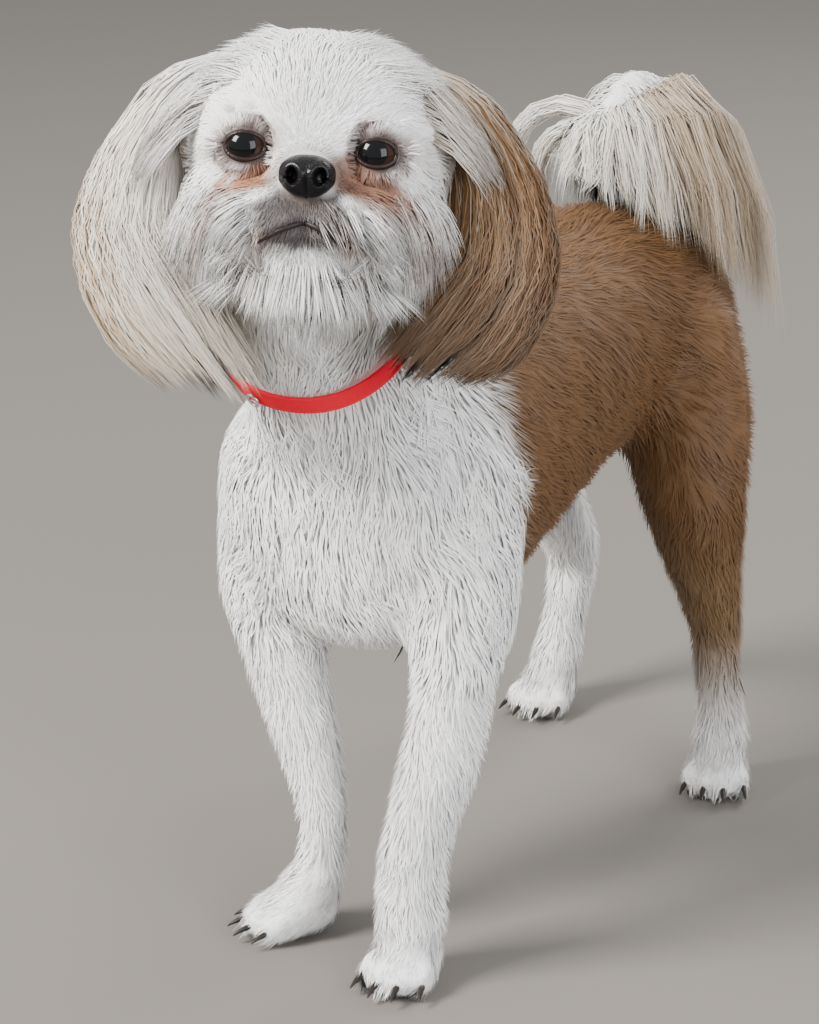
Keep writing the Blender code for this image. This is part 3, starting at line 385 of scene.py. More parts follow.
@dataclass(frozen=True)
class TailSizes:
    """Stem of the tail and the falls of its plume, from the back round by the left."""

    stem: tuple = (
        (0.000, 0.122, 0.232, 0.0120),
        (0.000, 0.134, 0.246, 0.0120),
        (0.000, 0.150, 0.282, 0.0120),
        (0.000, 0.144, 0.312, 0.0115),
        (0.000, 0.122, 0.322, 0.0105),
        (0.000, 0.100, 0.314, 0.0080),
        (-0.002, 0.090, 0.304, 0.0050),
    )
    falls: tuple = (
        ((0.000, 0.150, 0.300), (0.004, 0.164, 0.316), (0.010, 0.182, 0.280),
         (0.012, 0.186, 0.222)),
        ((0.002, 0.146, 0.306), (0.023, 0.153, 0.316), (0.046, 0.168, 0.278),
         (0.054, 0.168, 0.204)),
        ((0.002, 0.128, 0.316), (0.024, 0.130, 0.331), (0.052, 0.134, 0.294),
         (0.062, 0.144, 0.222)),
        ((0.002, 0.108, 0.314), (0.024, 0.102, 0.330), (0.050, 0.092, 0.306),
         (0.062, 0.092, 0.250)),
        ((0.000, 0.094, 0.308), (0.002, 0.082, 0.318), (0.002, 0.072, 0.308),
         (0.002, 0.068, 0.290)),
        ((-0.002, 0.098, 0.310), (-0.018, 0.092, 0.320), (-0.034, 0.090, 0.312),
         (-0.046, 0.094, 0.286)),
        ((-0.002, 0.124, 0.314), (-0.022, 0.128, 0.325), (-0.044, 0.136, 0.298),
         (-0.054, 0.146, 0.240)),
        ((0.000, 0.142, 0.308), (-0.014, 0.158, 0.318), (-0.034, 0.174, 0.284),
         (-0.042, 0.180, 0.222)),
    )
    curls: tuple = (
        ((-0.002, 0.100, 0.310), (-0.013, 0.096, 0.3185), (-0.028, 0.094, 0.318),
         (-0.041, 0.093, 0.309), (-0.046, 0.094, 0.296), (-0.045, 0.097, 0.282)),
        ((-0.004, 0.102, 0.306), (-0.013, 0.098, 0.3095), (-0.0228, 0.096, 0.3074),
         (-0.032, 0.096, 0.298), (-0.035, 0.098, 0.285), (-0.033, 0.101, 0.276)),
    )
    curl_strands: int = 260
    strands: int = 6000
    clumps: int = 160
    rings: int = 5
    width: float = 0.00086


@dataclass(frozen=True)
class CollarSizes:
    """Band around the neck and its ring."""

    middle: tuple = (0.001, -0.154, 0.273)
    normal: tuple = (0.10, -0.55, 0.83)
    radius: float = 0.0384
    thickness: float = 0.0020
    half_height: float = 0.0042
    ring_side: tuple = (-0.275, -0.817, -0.508)
    ring_drop: float = 0.0015
    ring_radius: float = 0.0028
    ring_wire: float = 0.0007


@dataclass(frozen=True)
class CoatSizes:
    """Number of tufts and the sizes that differ over the body."""

    tufts: int = 129000
    piece_triangles: int = 190000
    clump: float = 0.0052
    sunk: float = 0.0012
    skin_voxel: float = 0.0012
    skin_triangles: int = 120000


@dataclass(frozen=True)
class Paw:
    """Place and heading of one paw, in degrees from -Y towards +X."""

    middle: tuple
    heading: float


PAWS = (
    Paw((-0.027, -0.133), -44.0),
    Paw((0.039, -0.151), 6.0),
    Paw((0.061, 0.103), 20.0),
    Paw((-0.057, 0.154), 2.0),
)
FLESH = ("head", "neck", "torso", "foreleg_left", "foreleg_right", "hindleg_left",
         "hindleg_right", "forepaw_left", "forepaw_right", "hindpaw_left", "hindpaw_right")
CLAWS = tuple(f"{leg}claw_{side}_{k}" for leg in ("fore", "hind")
              for side in ("left", "right") for k in range(1, 5))


SOCKETS = {
    Sheen.HAIR: {"Specular IOR Level": 0.28, "Sheen Weight": 0.15, "Sheen Roughness": 0.4},
    Sheen.WET: {"Specular IOR Level": 0.1, "Coat Weight": 1.0, "Coat Roughness": 0.02,
                "Coat IOR": 1.24},
    Sheen.LEATHER: {"Specular IOR Level": 0.1, "Coat Weight": 0.6, "Coat Roughness": 0.14,
                    "Coat IOR": 1.25},
    Sheen.WEB: {"Specular IOR Level": 0.2},
    Sheen.PLAIN: {"Specular IOR Level": 0.2},
    Sheen.METAL: {"Metallic": 1.0},
}
PATTERNS = {
    Sheen.WEB: ("ShaderNodeTexChecker", "Fac"),
    Sheen.LEATHER: ("ShaderNodeTexVoronoi", "Distance"),
}


@dataclass(frozen=True)
class Finish:
    """Procedural material of one kind of surface."""

    name: str
    kind: Sheen
    color: tuple = (0.8, 0.8, 0.8)
    roughness: float = 0.6
    bump: float = 0.0
    scale: float = 400.0

    def build(self) -> bpy.types.Material:
        """Make the node material.

        Returns:
            The material.
        """
        mat = bpy.data.materials.new(self.name)
        mat.use_nodes = True
        tree = mat.node_tree
        shader = tree.nodes["Principled BSDF"]
        shader.inputs["Roughness"].default_value = self.roughness
        shader.inputs["Base Color"].default_value = (*self.color, 1.0)
        if self.kind in (Sheen.HAIR, Sheen.SKIN, Sheen.WET):
            tint = tree.nodes.new("ShaderNodeAttribute")
            tint.attribute_name = TINT
            tree.links.new(tint.outputs["Color"], shader.inputs["Base Color"])
        for socket, value in SOCKETS.get(self.kind, {}).items():
            shader.inputs[socket].default_value = value
        if self.bump > 0.0:
            self.add_bump(tree, shader)
        return mat

    def add_bump(self, tree: bpy.types.NodeTree, shader: bpy.types.Node) -> None:
        """Join a height pattern to the shader's normal.

        Args:
            tree: Node tree of the material.
            shader: Its main shader.
        """
        node, output = PATTERNS.get(self.kind, ("ShaderNodeTexNoise", "Fac"))
        pattern = tree.nodes.new(node)
        pattern.inputs["Scale"].default_value = self.scale
        if self.kind not in PATTERNS:
            pattern.inputs["Detail"].default_value = 3.0
        if self.kind is Sheen.WEB:
            source = tree.nodes.new("ShaderNodeAttribute")
            source.attribute_name = WEAVE
            place = source.outputs["Vector"]
        else:
            place = tree.nodes.new("ShaderNodeTexCoord").outputs["Object"]
        tree.links.new(place, pattern.inputs["Vector"])
        bump = tree.nodes.new("ShaderNodeBump")
        bump.inputs["Strength"].default_value = self.bump
        bump.inputs["Distance"].default_value = 0.0004
        tree.links.new(pattern.outputs[output], bump.inputs["Height"])
        tree.links.new(bump.outputs["Normal"], shader.inputs["Normal"])


FINISHES = {
    "hair": Finish("hair", Sheen.HAIR, roughness=0.55),
    "silk": Finish("silk", Sheen.HAIR, roughness=0.42),
    "skin": Finish("skin", Sheen.SKIN, roughness=0.8, bump=0.7, scale=900.0),
    "eye": Finish("eye", Sheen.WET, roughness=0.12),
    "rim": Finish("rim", Sheen.PLAIN, (0.018, 0.011, 0.010), 0.30, 0.4, 1500.0),
    "nose": Finish("nose", Sheen.LEATHER, (0.006, 0.0055, 0.006), 0.42, 0.9, 1100.0),
    "lip": Finish("lip", Sheen.PLAIN, (0.020, 0.013, 0.013), 0.45, 0.4, 1200.0),
    "horn": Finish("horn", Sheen.PLAIN, (0.022, 0.017, 0.014), 0.35, 0.3, 900.0),
    "web": Finish("web", Sheen.WEB, (0.92, 0.0002, 0.030), 0.70, 0.8, 1.0),
    "steel": Finish("steel", Sheen.METAL, (0.60, 0.60, 0.61), 0.28, 0.1, 1500.0),
    "floor": Finish("floor", Sheen.PLAIN, (0.165, 0.150, 0.133), 0.85, 0.15, 60.0),
}


class HeadFrame:
    """Own axes of the turned, raised and tilted head."""

    def __init__(self, sizes: HeadSizes) -> None:
        """Work out the axes from the head's pose.

        Args:
            sizes: Pose and place of the head.
        """
        yaw, pitch, roll = (math.radians(a) for a in (sizes.yaw, sizes.pitch, sizes.roll))
        level = np.array([math.sin(yaw), -math.cos(yaw), 0.0])
        side = np.array([math.cos(yaw), math.sin(yaw), 0.0])
        up = np.array([0.0, 0.0, 1.0])
        lifted = up * math.cos(pitch) - level * math.sin(pitch)
        forward = level * math.cos(pitch) + up * math.sin(pitch)
        self.axes = np.array([side * math.cos(roll) - lifted * math.sin(roll), forward,
                              lifted * math.cos(roll) + side * math.sin(roll)])
        self.middle = np.array(sizes.middle)

    def out(self, local: Array) -> Array:
        """Turn places in the head's axes into places of the dog."""
        return self.middle + np.asarray(local) @ self.axes

    def local(self, points: Array) -> Array:
        """Turn places of the dog into the head's axes."""
        return (points - self.middle) @ self.axes.T


class Stage:
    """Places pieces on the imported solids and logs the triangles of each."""

    def __init__(self, head: HeadFrame, eyes: EyeSizes) -> None:
        """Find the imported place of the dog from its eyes, and make the materials.

        Args:
            head: Axes of the head.
            eyes: Sizes of the eyes.
        """
        corners = [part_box(name) for name in ("eye_left", "eye_right")]
        packed = np.mean([np.array(c) for pair in corners for c in pair], axis=0)
        self.shift = packed - head.out([0.0, eyes.forward, eyes.up])
        self.materials = {key: finish.build() for key, finish in FINISHES.items()}

    def place(self, name: str, mesh: Mesh, finish: str, slot: str, nodes: tuple = (),
              colors: Array | None = None, uvs: Array | None = None,
              pattern: Array | None = None) -> bpy.types.Object:
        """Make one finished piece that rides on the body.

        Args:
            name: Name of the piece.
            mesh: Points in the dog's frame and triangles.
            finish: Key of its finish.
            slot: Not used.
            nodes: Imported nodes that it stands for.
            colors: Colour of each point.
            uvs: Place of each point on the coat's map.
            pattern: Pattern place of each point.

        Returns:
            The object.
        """
        verts, tris = mesh[:2]
        corners = verts[tris]
        if np.sum(corners[:, 0] * np.cross(corners[:, 1], corners[:, 2])) < 0.0:
            tris = tris[:, ::-1]
        data = bpy.data.meshes.new(name)
        fill_mesh(data, verts + self.shift, tris)
        if len(mesh) > 2:
            data.normals_split_custom_set_from_vertices(mesh[2])
        if colors is not None:
            tint = data.color_attributes.new(TINT, "FLOAT_COLOR", "POINT")
            rows = np.ones((len(verts), 4), np.float32)
            rows[:, :3] = np.clip(colors, 0.0, 1.0)
            tint.data.foreach_set("color", rows.ravel())
        if uvs is not None:
            layer = data.uv_layers.new(name=COAT_MAP)
            spread = uvs if len(uvs) == tris.size else uvs[tris.ravel()]
            layer.data.foreach_set("uv", spread.astype(np.float32).ravel())
        if pattern is not None:
            weave = data.attributes.new(WEAVE, "FLOAT_VECTOR", "POINT")
            weave.data.foreach_set("vector", pattern.astype(np.float32).ravel())
        data.materials.append(self.materials[finish])
        obj = bpy.data.objects.new(name, data)
        bpy.context.scene.collection.objects.link(obj)
        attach(obj, BODY)
        if nodes:
            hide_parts(*nodes)
        LOG.info("%s: %d triangles", name, len(tris))
        return obj


def fill_mesh(data: bpy.types.Mesh, verts: Array, tris: Array) -> None:
    """Write points and smooth triangles into an empty mesh.

    Args:
        data: Mesh to fill.
        verts: Rows of points.
        tris: Rows of three point numbers.
    """
    data.vertices.add(len(verts))
    data.vertices.foreach_set("co", np.ascontiguousarray(verts, np.float32).ravel())
    data.loops.add(tris.size)
    data.loops.foreach_set("vertex_index", np.ascontiguousarray(tris, np.int32).ravel())
    data.polygons.add(len(tris))
    data.polygons.foreach_set("loop_start", np.arange(len(tris), dtype=np.int32) * 3)
    data.update(calc_edges=True)
    data.shade_smooth()


def read_mesh(data: bpy.types.Mesh) -> tuple[Array, Array, Array]:
    """Read points, triangles and point normals of a mesh.

    Args:
        data: Mesh to read.

    Returns:
        Points, triangles and unit normals.
    """
    verts = np.empty(len(data.vertices) * 3, np.float32)
    data.vertices.foreach_get("co", verts)
    normals = np.empty(len(data.vertices) * 3, np.float32)
    data.vertices.foreach_get("normal", normals)
    data.calc_loop_triangles()
    tris = np.empty(len(data.loop_triangles) * 3, np.int32)
    data.loop_triangles.foreach_get("vertices", tris)
    return (verts.reshape(-1, 3).astype(float), tris.reshape(-1, 3),
            unit(normals.reshape(-1, 3).astype(float)))


class Regions:
    """Where a place lies on the dog, as soft weights."""

    def __init__(self, head: HeadFrame, sizes: HeadSizes, points: Array) -> None:
        """Weigh every place.

        Args:
            head: Axes of the head.
            sizes: Sizes of the head.
            points: Rows of places of the dog.
        """
        self.points = points
        self.local = head.local(points)
        _, y, z = points.T
        normal = unit(np.array(sizes.cut[1]))
        self.head = step(-0.004, 0.004, (points - np.array(sizes.cut[0])) @ normal)
        self.tail = step(0.284, 0.292, z) * step(0.060, 0.075, y)
        self.paw = step(0.038, 0.026, z)
        self.leg = step(0.172, 0.140, z) * (1.0 - self.paw)
        self.chest = (step(-0.092, -0.118, y) * (1.0 - self.head)
                      * (1.0 - self.leg) * (1.0 - self.paw))
        side, forward, up = self.local.T
        nose = np.linalg.norm(self.local - np.array([0.0, 0.052, -0.010]), axis=1)
        self.near_nose = step(0.055, 0.012, nose) * self.head
        self.face = self.head * step(0.006, 0.020, forward)
        self.chin = self.face * step(-0.032, -0.040, up)
        self.cheek = (self.head * step(0.026, 0.036, np.abs(side)) * step(0.000, -0.014, up))
        self.ear_base = (self.head * step(0.036, 0.046, np.abs(side))
                         * step(-0.004, 0.010, up) * step(0.012, 0.000, forward))
        self.skull_back = self.head * step(-0.004, -0.024, forward)


@dataclass(frozen=True)
class Layer:
    """Part of one region in a value: added to the value, or laid over it."""

    region: str
    amount: float
    over: bool = False


@dataclass(frozen=True)
class Spread:
    """A value that changes over the body, with the layers of its regions in order."""

    start: float
    layers: tuple

    def at(self, regions: Regions) -> Array:
        """Work out the value.

        Args:
            regions: Places with their weights.

        Returns:
            One value a place.
        """
        value = np.full(len(regions.points), self.start)
        for layer in self.layers:
            share = getattr(regions, layer.region)
            if layer.over:
                value = value * (1.0 - share)
            value = value + layer.amount * share
        return value


COAT_DEPTH = Spread(0.0042, (
    Layer("chest", 0.0008), Layer("leg", 0.0036, True), Layer("paw", 0.0022, True),
    Layer("head", 0.0032, True), Layer("cheek", 0.0012), Layer("near_nose", 0.0009, True),
    Layer("tail", 0.0010, True)))
TUFT_LENGTH = Spread(0.0150, (
    Layer("chest", 0.0060), Layer("leg", 0.0115, True), Layer("paw", 0.0088, True),
    Layer("head", 0.0185, True), Layer("cheek", 0.0030), Layer("ear_base", 0.0110),
    Layer("near_nose", 0.0034, True), Layer("chin", 0.0080), Layer("tail", 0.0060)))
TUFT_WIDTH = Spread(0.00136, (
    Layer("leg", -0.00025), Layer("paw", -0.00040), Layer("chest", -0.00042),
    Layer("head", -0.00058), Layer("face", -0.00016), Layer("near_nose", -0.00015)))
ROOT_DENSITY = Spread(1.0, (
    Layer("chest", 0.95), Layer("leg", 0.7), Layer("paw", 1.6), Layer("head", 0.9),
    Layer("face", 1.6), Layer("near_nose", 1.6), Layer("tail", -0.6)))


@dataclass(frozen=True)
class Tear:
    """Rusty stain under one eye, as a line on the face's (side, up)."""

    start: tuple
    end: tuple
    radius: float
    strength: float


TEARS = (
    Tear((-0.0175, -0.0080), (-0.0340, -0.0150), 0.0062, 1.0),
    Tear((0.0140, -0.0065), (0.0400, -0.0190), 0.0088, 0.7),
)


@dataclass(frozen=True)
class Markings:
    """Colours of skin and coat at any place, from soft shapes and noise."""

    white = np.array([0.93, 0.925, 0.915])
    cream = np.array([0.80, 0.72, 0.60])
    tan = np.array([0.150, 0.068, 0.020])
    umber = np.array([0.115, 0.060, 0.028])
    gold = np.array([0.46, 0.30, 0.155])
    rust = np.array([0.30, 0.110, 0.048])
    stain = np.array([0.27, 0.125, 0.085])
    dark = np.array([0.034, 0.021, 0.019])
    grey = np.array([0.13, 0.10, 0.080])

    eyes: EyeSizes

    def coat(self, regions: Regions) -> Array:
        """Colour of the coat.

        Args:
            regions: Places with their weights.

        Returns:
            One colour a place.
        """
        points = regions.points
        x, y, z = points.T
        broad = noise(points, 0.020, 1)
        fine = noise(points, 0.0045, 2)
        color = mix(self.white, self.cream, 0.18 * broad + 0.08 * fine)
        tan = mix(self.tan, self.umber, np.clip(0.15 + 0.45 * fine + 0.35 * broad - 0.2, 0, 1))
        foreleg = step(0.165, 0.140, z) * step(-0.070, -0.085, y)
        body = step(-0.112, -0.092, y + 0.016 * (broad - 0.5) + 0.008 * (fine - 0.5))
        body = body * (1.0 - foreleg) * (1.0 - regions.tail) * (1.0 - regions.head)
        sock = step(0.085, 0.012, z) * 0.85
        inner = step(0.150, 0.130, z) * step(0.0, -0.01, x) * step(0.204, 0.190, y)
        body = body * (1.0 - sock) * (1.0 - inner)
        leg = step(0.150, 0.085, z) * body
        color = mix(color, mix(tan, self.gold * 0.60, 0.60 * leg), body)
        return self.head(regions, color, broad, fine)

    def head(self, regions: Regions, color: Array, broad: Array, fine: Array) -> Array:
        """Add the marks of the head.

        Args:
            regions: Places with their weights.
            color: Colours so far.
            broad: Wide noise.
            fine: Fine noise.

        Returns:
            Colours with the head's marks.
        """
        side, forward, up = regions.local.T
        wide = np.abs(side)
        gold = mix(self.gold, self.tan, fine)
        back = regions.skull_back * step(0.010, 0.024, wide + 0.010 * (broad - 0.5))
        color = mix(color, gold, 0.85 * back)
        streak = step(0.30, 0.62, noise(regions.points, 0.006, 15))
        over = regions.ear_base * step(0.026, 0.038, side) * (0.35 + 0.65 * streak)
        color = mix(color, self.gold * 0.75, 0.85 * over)
        over = regions.ear_base * step(-0.030, -0.042, side) * streak
        color = mix(color, self.cream * 0.85, 0.80 * over)
        patch = regions.head * step(0.043, 0.051, wide) * step(0.030, 0.018, up)
        color = mix(color, gold, 0.55 * patch)
        for sign in (-1.0, 1.0):
            apart = np.stack([side - sign * self.eyes.side, up - self.eyes.up], axis=1)
            gap = np.linalg.norm(apart / np.array([1.12, 0.90]), axis=1)
            ring = regions.face * step(0.0165, 0.0070, gap + 0.009 * (fine - 0.5))
            color = mix(color, self.stain, 0.72 * ring)
            rim = regions.face * step(0.0104, 0.0076, gap + 0.003 * (fine - 0.5))
            color = mix(color, self.dark, 0.90 * rim)
        for tear in TEARS:
            gap = segment_gap(vectors(side, up), np.array(tear.start), np.array(tear.end))
            mark = step(tear.radius, tear.radius * 0.35, gap + 0.0035 * (fine - 0.5))
            color = mix(color, self.rust * tear.strength, 0.95 * (regions.face * mark))
        half = 0.0140 + 0.0110 * step(-0.010, -0.022, up)
        lip = np.hypot(side / half, (up + 0.0222) / 0.0125) + 0.4 * (fine - 0.5)
        mouth = regions.face * step(0.030, 0.040, forward) * step(1.10, 0.70, lip)
        color = mix(color, self.dark, 0.93 * mouth)
        rust = regions.face * step(0.0075, 0.002, np.hypot(wide - 0.017, (up + 0.033)))
        color = mix(color, self.rust, 0.45 * rust)
        bridge = regions.face * step(0.0155, 0.0115, np.hypot(side, (up + 0.0068) * 1.15))
        color = mix(color, self.grey, 0.55 * bridge * step(0.036, 0.044, forward))
        return color


def segment_gap(points: Array, start: Array, end: Array) -> Array:
    """Distance of flat points from a line segment.

    Args:
        points: Rows of points.
        start: First end.
        end: Second end.

    Returns:
        One distance a row.
    """
    way = end - start
    share = np.clip((points - start) @ way / (way @ way), 0.0, 1.0)
    return np.linalg.norm(points - start - share[:, None] * way, axis=1)


@dataclass(frozen=True)
class Lie:
    """Depth and direction of the hair at any place."""

    head: HeadFrame

    def depth(self, regions: Regions, eyes: EyeSizes) -> Array:
        """Depth of the coat over the skin.

        Args:
            regions: Places with their weights.
            eyes: Sizes of the eyes.

        Returns:
            One depth a place.
        """
        depth = COAT_DEPTH.at(regions)
        for sign in (-1.0, 1.0):
            middle = np.array([sign * eyes.side, eyes.forward, eyes.up])
            gap = np.linalg.norm(regions.local - middle, axis=1)
            near = step(0.0280, 0.0100, gap) * regions.head
            depth = depth * (1.0 - near) + 0.0002 * near
        return depth

    def flow(self, regions: Regions) -> Array:
        """Direction in which the coat lies, not yet laid onto the surface.

        Args:
            regions: Places with their weights.

        Returns:
            One unit direction a place.
        """
        out = np.clip(regions.points[:, 0] / 0.05, -1.0, 1.0)
        flow = vectors(0.15 * out, 0.80, -0.50)
        flow = mix(flow, vectors(0.35 * out, 0.05, -1.0), regions.chest)
        flow = mix(flow, vectors(0.05 * out, 0.22, -1.0), regions.leg)
        flow = mix(flow, self.toes(regions.points), regions.paw)
        flow = mix(flow, vectors(0.6 * out, -0.25, -1.0), regions.tail)
        return unit(mix(flow, self.head_flow(regions), regions.head))

    def toes(self, points: Array) -> Array:
        """Direction of the hair on the paws.

        Args:
            points: Rows of places.

        Returns:
            Directions towards the toes and down.
        """
        middles = np.array([paw.middle for paw in PAWS])
        gaps = np.linalg.norm(points[:, None, :2] - middles[None], axis=2)
        nearest = np.argmin(gaps, axis=1)
        angles = np.radians([paw.heading for paw in PAWS])[nearest]
        return vectors(np.sin(angles), -np.cos(angles), -0.45)

    def head_flow(self, regions: Regions) -> Array:
        """Direction of the hair on the head, away from the nose and down its sides.

        Args:
            regions: Places with their weights.

        Returns:
            Directions in the dog's frame.
        """
        side, _, up = regions.local.T
        way = unit(regions.local - np.array([0.0, 0.050, -0.004]))
        fall = step(0.012, -0.020, up) * 0.75 + 0.9 * regions.ear_base
        sideways = vectors(np.sign(side) * 0.9, 0.0, -1.0)
        way = way + 0.6 * regions.ear_base[:, None] * sideways
        way[:, 2] -= fall
        chin = unit(vectors(1.2 * side / 0.03, 0.15, -1.0))
        way = mix(way, chin, regions.chin)
        return unit(way) @ self.head.axes


class StrandMesh:
    """Builds many tapering three-sided strands as one mesh."""

    @staticmethod
    def build(paths: Array, outs: Array, widths: Array, roundness: Array | float = 0.45,
              depth_share: float = 0.26) -> Mesh:
        """Join strands into one mesh.

        Args:
            paths: Middle lines as (strand, ring, xyz).
            outs: Outward directions of the same shape.
            widths: Full width of each strand.
            roundness: How far the soft normals of each strand turn sideways.
            depth_share: Thickness against the width.

        Returns:
            Points, triangles and soft point normals.
        """
        count, rows, _ = paths.shape
        rings = rows - 1
        tangents = unit(np.gradient(paths, axis=1))
        outs = unit(outs - np.sum(outs * tangents, axis=2, keepdims=True) * tangents)
        across = np.cross(outs, tangents)
        t = np.arange(rings) / rings
        taper = (0.75 + 0.35 * np.sin(np.pi * np.minimum(t + 0.15, 1.0))) * (1.0 - t ** 2.5)
        half = (0.5 * widths[:, None] * taper[None])[..., None]
        mid = paths[:, :rings]
        ridge = outs[:, :rings] * half * 2.0 * depth_share
        cross = across[:, :rings] * half
        ring = np.stack([mid - cross - ridge * 0.4, mid + cross - ridge * 0.4,
                         mid + ridge * 0.6], axis=2)
        verts = np.concatenate([ring.reshape(count, rings * 3, 3), paths[:, -1:]], axis=1)
        lean = across[:, :rings] * np.broadcast_to(roundness, count)[:, None, None]
        soft = np.stack([outs[:, :rings] - lean, outs[:, :rings] + lean, outs[:, :rings]], axis=2)
        soft = np.concatenate([soft.reshape(count, rings * 3, 3), outs[:, -1:]], axis=1)
        faces = [(0, 2, 1)]
        for k in range(rings - 1):
            for j in range(3):
                a, b = 3 * k + j, 3 * k + (j + 1) % 3
                faces += [(a, b, b + 3), (a, b + 3, a + 3)]
        last = 3 * (rings - 1)
        for j in range(3):
            faces.append((last + j, last + (j + 1) % 3, last + 3))
        pattern = np.array(faces)
        start = np.arange(count)[:, None, None] * (3 * rings + 1)
        return (verts.reshape(-1, 3), (pattern[None] + start).reshape(-1, 3),
                unit(soft).reshape(-1, 3))

    @staticmethod
    def spread(root: Array, tip: Array, rings: int) -> Array:
        """Colour of each point of the strands, from root to tip.

        Args:
            root: Colour at each root.
            tip: Colour at each tip.
            rings: Rings of a strand.

        Returns:
            One colour a point.
        """
        t = np.concatenate([np.repeat(np.arange(rings) / rings, 3), [1.0]])
        rows = root[:, None] * (1.0 - t[None, :, None]) + tip[:, None] * t[None, :, None]
        return rows.reshape(-1, 3)

    @staticmethod
    def patch(roots: Array, rings: int) -> Array:
        """Small patch on the coat's map around each root's place.

        Args:
            roots: Map place of each root.
            rings: Rings of a strand.

        Returns:
            One map place a point.
        """
        t = np.concatenate([np.repeat(np.arange(rings) / rings, 3), [1.0]])
        across = np.concatenate([np.tile([-1.0, 1.0, 0.0], rings), [0.0]])
        offset = np.stack([across * 0.0013, (t - 0.5) * 0.0028], axis=1)
        return (roots[:, None] + offset[None]).reshape(-1, 2)


@dataclass
class Skin:
    """One closed skin for all the flesh, inside the coat."""

    head: HeadFrame
    sizes: HeadSizes
    eyes: EyeSizes
    muzzle: MuzzleSizes
    coat: CoatSizes
    tail: TailSizes
    shift: Array

    def flesh(self) -> list[Mesh]:
        """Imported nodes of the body, swollen a little so that they meet.

        Returns:
            Closed meshes in the dog's frame.
        """
        found = []
        for name in FLESH:
            if name == "head":
                continue
            work = bmesh.new()
            work.from_mesh(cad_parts[name].data)
            bmesh.ops.remove_doubles(work, verts=work.verts, dist=1e-6)
            bmesh.ops.recalc_face_normals(work, faces=work.faces)
            bmesh.ops.triangulate(work, faces=work.faces)
            work.normal_update()
            verts = np.array([tuple(v.co + v.normal * 0.0004) for v in work.verts])
            tris = np.array([[v.index for v in f.verts] for f in work.faces])
            work.free()
            found.append((verts - self.shift, tris))
        return found

    def face_depth(self, side: Array, up: Array) -> Array:
        """Foremost surface of the head's lumps seen from the front.

        Args:
            side: Places across.
            up: Places upwards.

        Returns:
            Forward place of the surface.
        """
        depth = np.full(len(side), -1.0)
        for lump in self.sizes.lumps:
            for sign in (-1.0, 1.0):
                across = (side - sign * lump[0]) / lump[3]
                rise = (up - lump[2]) / lump[5]
                rest = np.clip(1.0 - across ** 2 - rise ** 2, 0.0, None)
                surface = np.where(rest > 0.0, lump[1] + lump[4] * np.sqrt(rest), -1.0)
                depth = np.maximum(depth, surface)
        return depth

    def mouth(self, lift: float, share: float, sunk: float, count: int = 41) -> Array:
        """Curve of the closed mouth on the face.

        Args:
            lift: Distance above the line.
            share: Share of its width.
            sunk: Depth under the face.
            count: Number of points.

        Returns:
            Rows in the dog's frame.
        """
        t = np.linspace(-share, share, count)
        side = t * self.muzzle.mouth_half_width
        up = self.muzzle.mouth_top - self.muzzle.mouth_drop * np.abs(t) ** 1.3 + lift
        forward = self.face_depth(side, up) - sunk
        return self.head.out(np.stack([side, forward, up], axis=1))

    def lids(self) -> list[Mesh]:
        """Upper and lower lids over both eyes.

        Returns:
            Closed tubes.
        """
        found = []
        t = np.linspace(-1.0, 1.0, 25)
        for sign in (-1.0, 1.0):
            for open_by in (self.eyes.lid_open, -self.eyes.lid_open):
                side = np.sin(t * math.radians(80)) * self.eyes.radius * 1.05
                lift = open_by * np.cos(t * math.pi / 2) ** 0.8
                flat = np.minimum(side ** 2 + lift ** 2, self.eyes.radius ** 2)
                ahead = np.sqrt((self.eyes.radius * 1.06) ** 2 - flat)
                rows = np.stack([sign * self.eyes.side + side, self.eyes.forward + ahead,
                                 self.eyes.up + lift], axis=1)
                radius = np.full(len(t), self.eyes.lid_radius)
                found.append(tube(self.head.out(rows), radius, radius, self.head.axes[2], 14))
        return found

    def solids(self) -> list[Mesh]:
        """Everything that melts into the skin.

        Returns:
            Closed meshes in the dog's frame.
        """
        found = self.flesh() + self.lids()
        for side, forward, up, *radii in self.sizes.lumps:
            for sign in ((1, -1) if side else (1,)):
                middle = self.head.out([sign * side, forward, up])
                found.append(ellipsoid(middle, np.array(radii), self.head.axes, 40))
        neck = curve(self.sizes.neck, 30)
        found.append(tube(neck[:, :3], neck[:, 3] + 0.0006, neck[:, 4] + 0.0006,
                          np.array([1.0, 0.0, 0.0]), 40))
        stem = curve(self.tail.stem, 30)
        found.append(tube(stem[:, :3], stem[:, 3], stem[:, 3], np.array([1.0, 0.0, 0.0]), 24))
        for lift, share in ((self.muzzle.lip_radius, 0.95), (-self.muzzle.lip_radius, 0.80)):
            rows = self.mouth(lift, share, 0.0014)
            radius = np.full(len(rows), self.muzzle.lip_radius)
            found.append(tube(rows, radius, radius, self.head.axes[2], 16))
        return found

    def opened(self, verts: Array) -> Array:
        """Open the lids: draw the skin behind the eyeballs and down to a thin edge.

        Args:
            verts: Skin points.

        Returns:
            Skin points with open eyes.
        """
        local = self.head.local(verts)
        sizes = self.eyes
        for sign in (-1.0, 1.0):
            side = local[:, 0] - sign * sizes.side
            up = local[:, 2] - sizes.up
            share = ellipse_share(side, up, sizes)
            gap = np.hypot(side, up)
            lid = 0.0004 + 0.0022 * step(1.0, 2.2, share)
            top = sizes.forward + np.sqrt(np.clip((sizes.radius + lid) ** 2 - gap ** 2, 0.0, None))
            rest = np.clip((sizes.radius - 0.0016) ** 2 - gap ** 2, 0.0, None)
            behind = sizes.forward + np.sqrt(rest)
            ahead = (local[:, 1] > sizes.forward - 0.004) & (gap < sizes.radius + lid)
            near = ahead & (share >= 1.0)
            local[near, 1] = np.minimum(local[near, 1], top[near])
            inner = ahead & (share < 1.0)
            local[inner, 1] = np.minimum(local[inner, 1], behind[inner])
        return self.head.out(local)

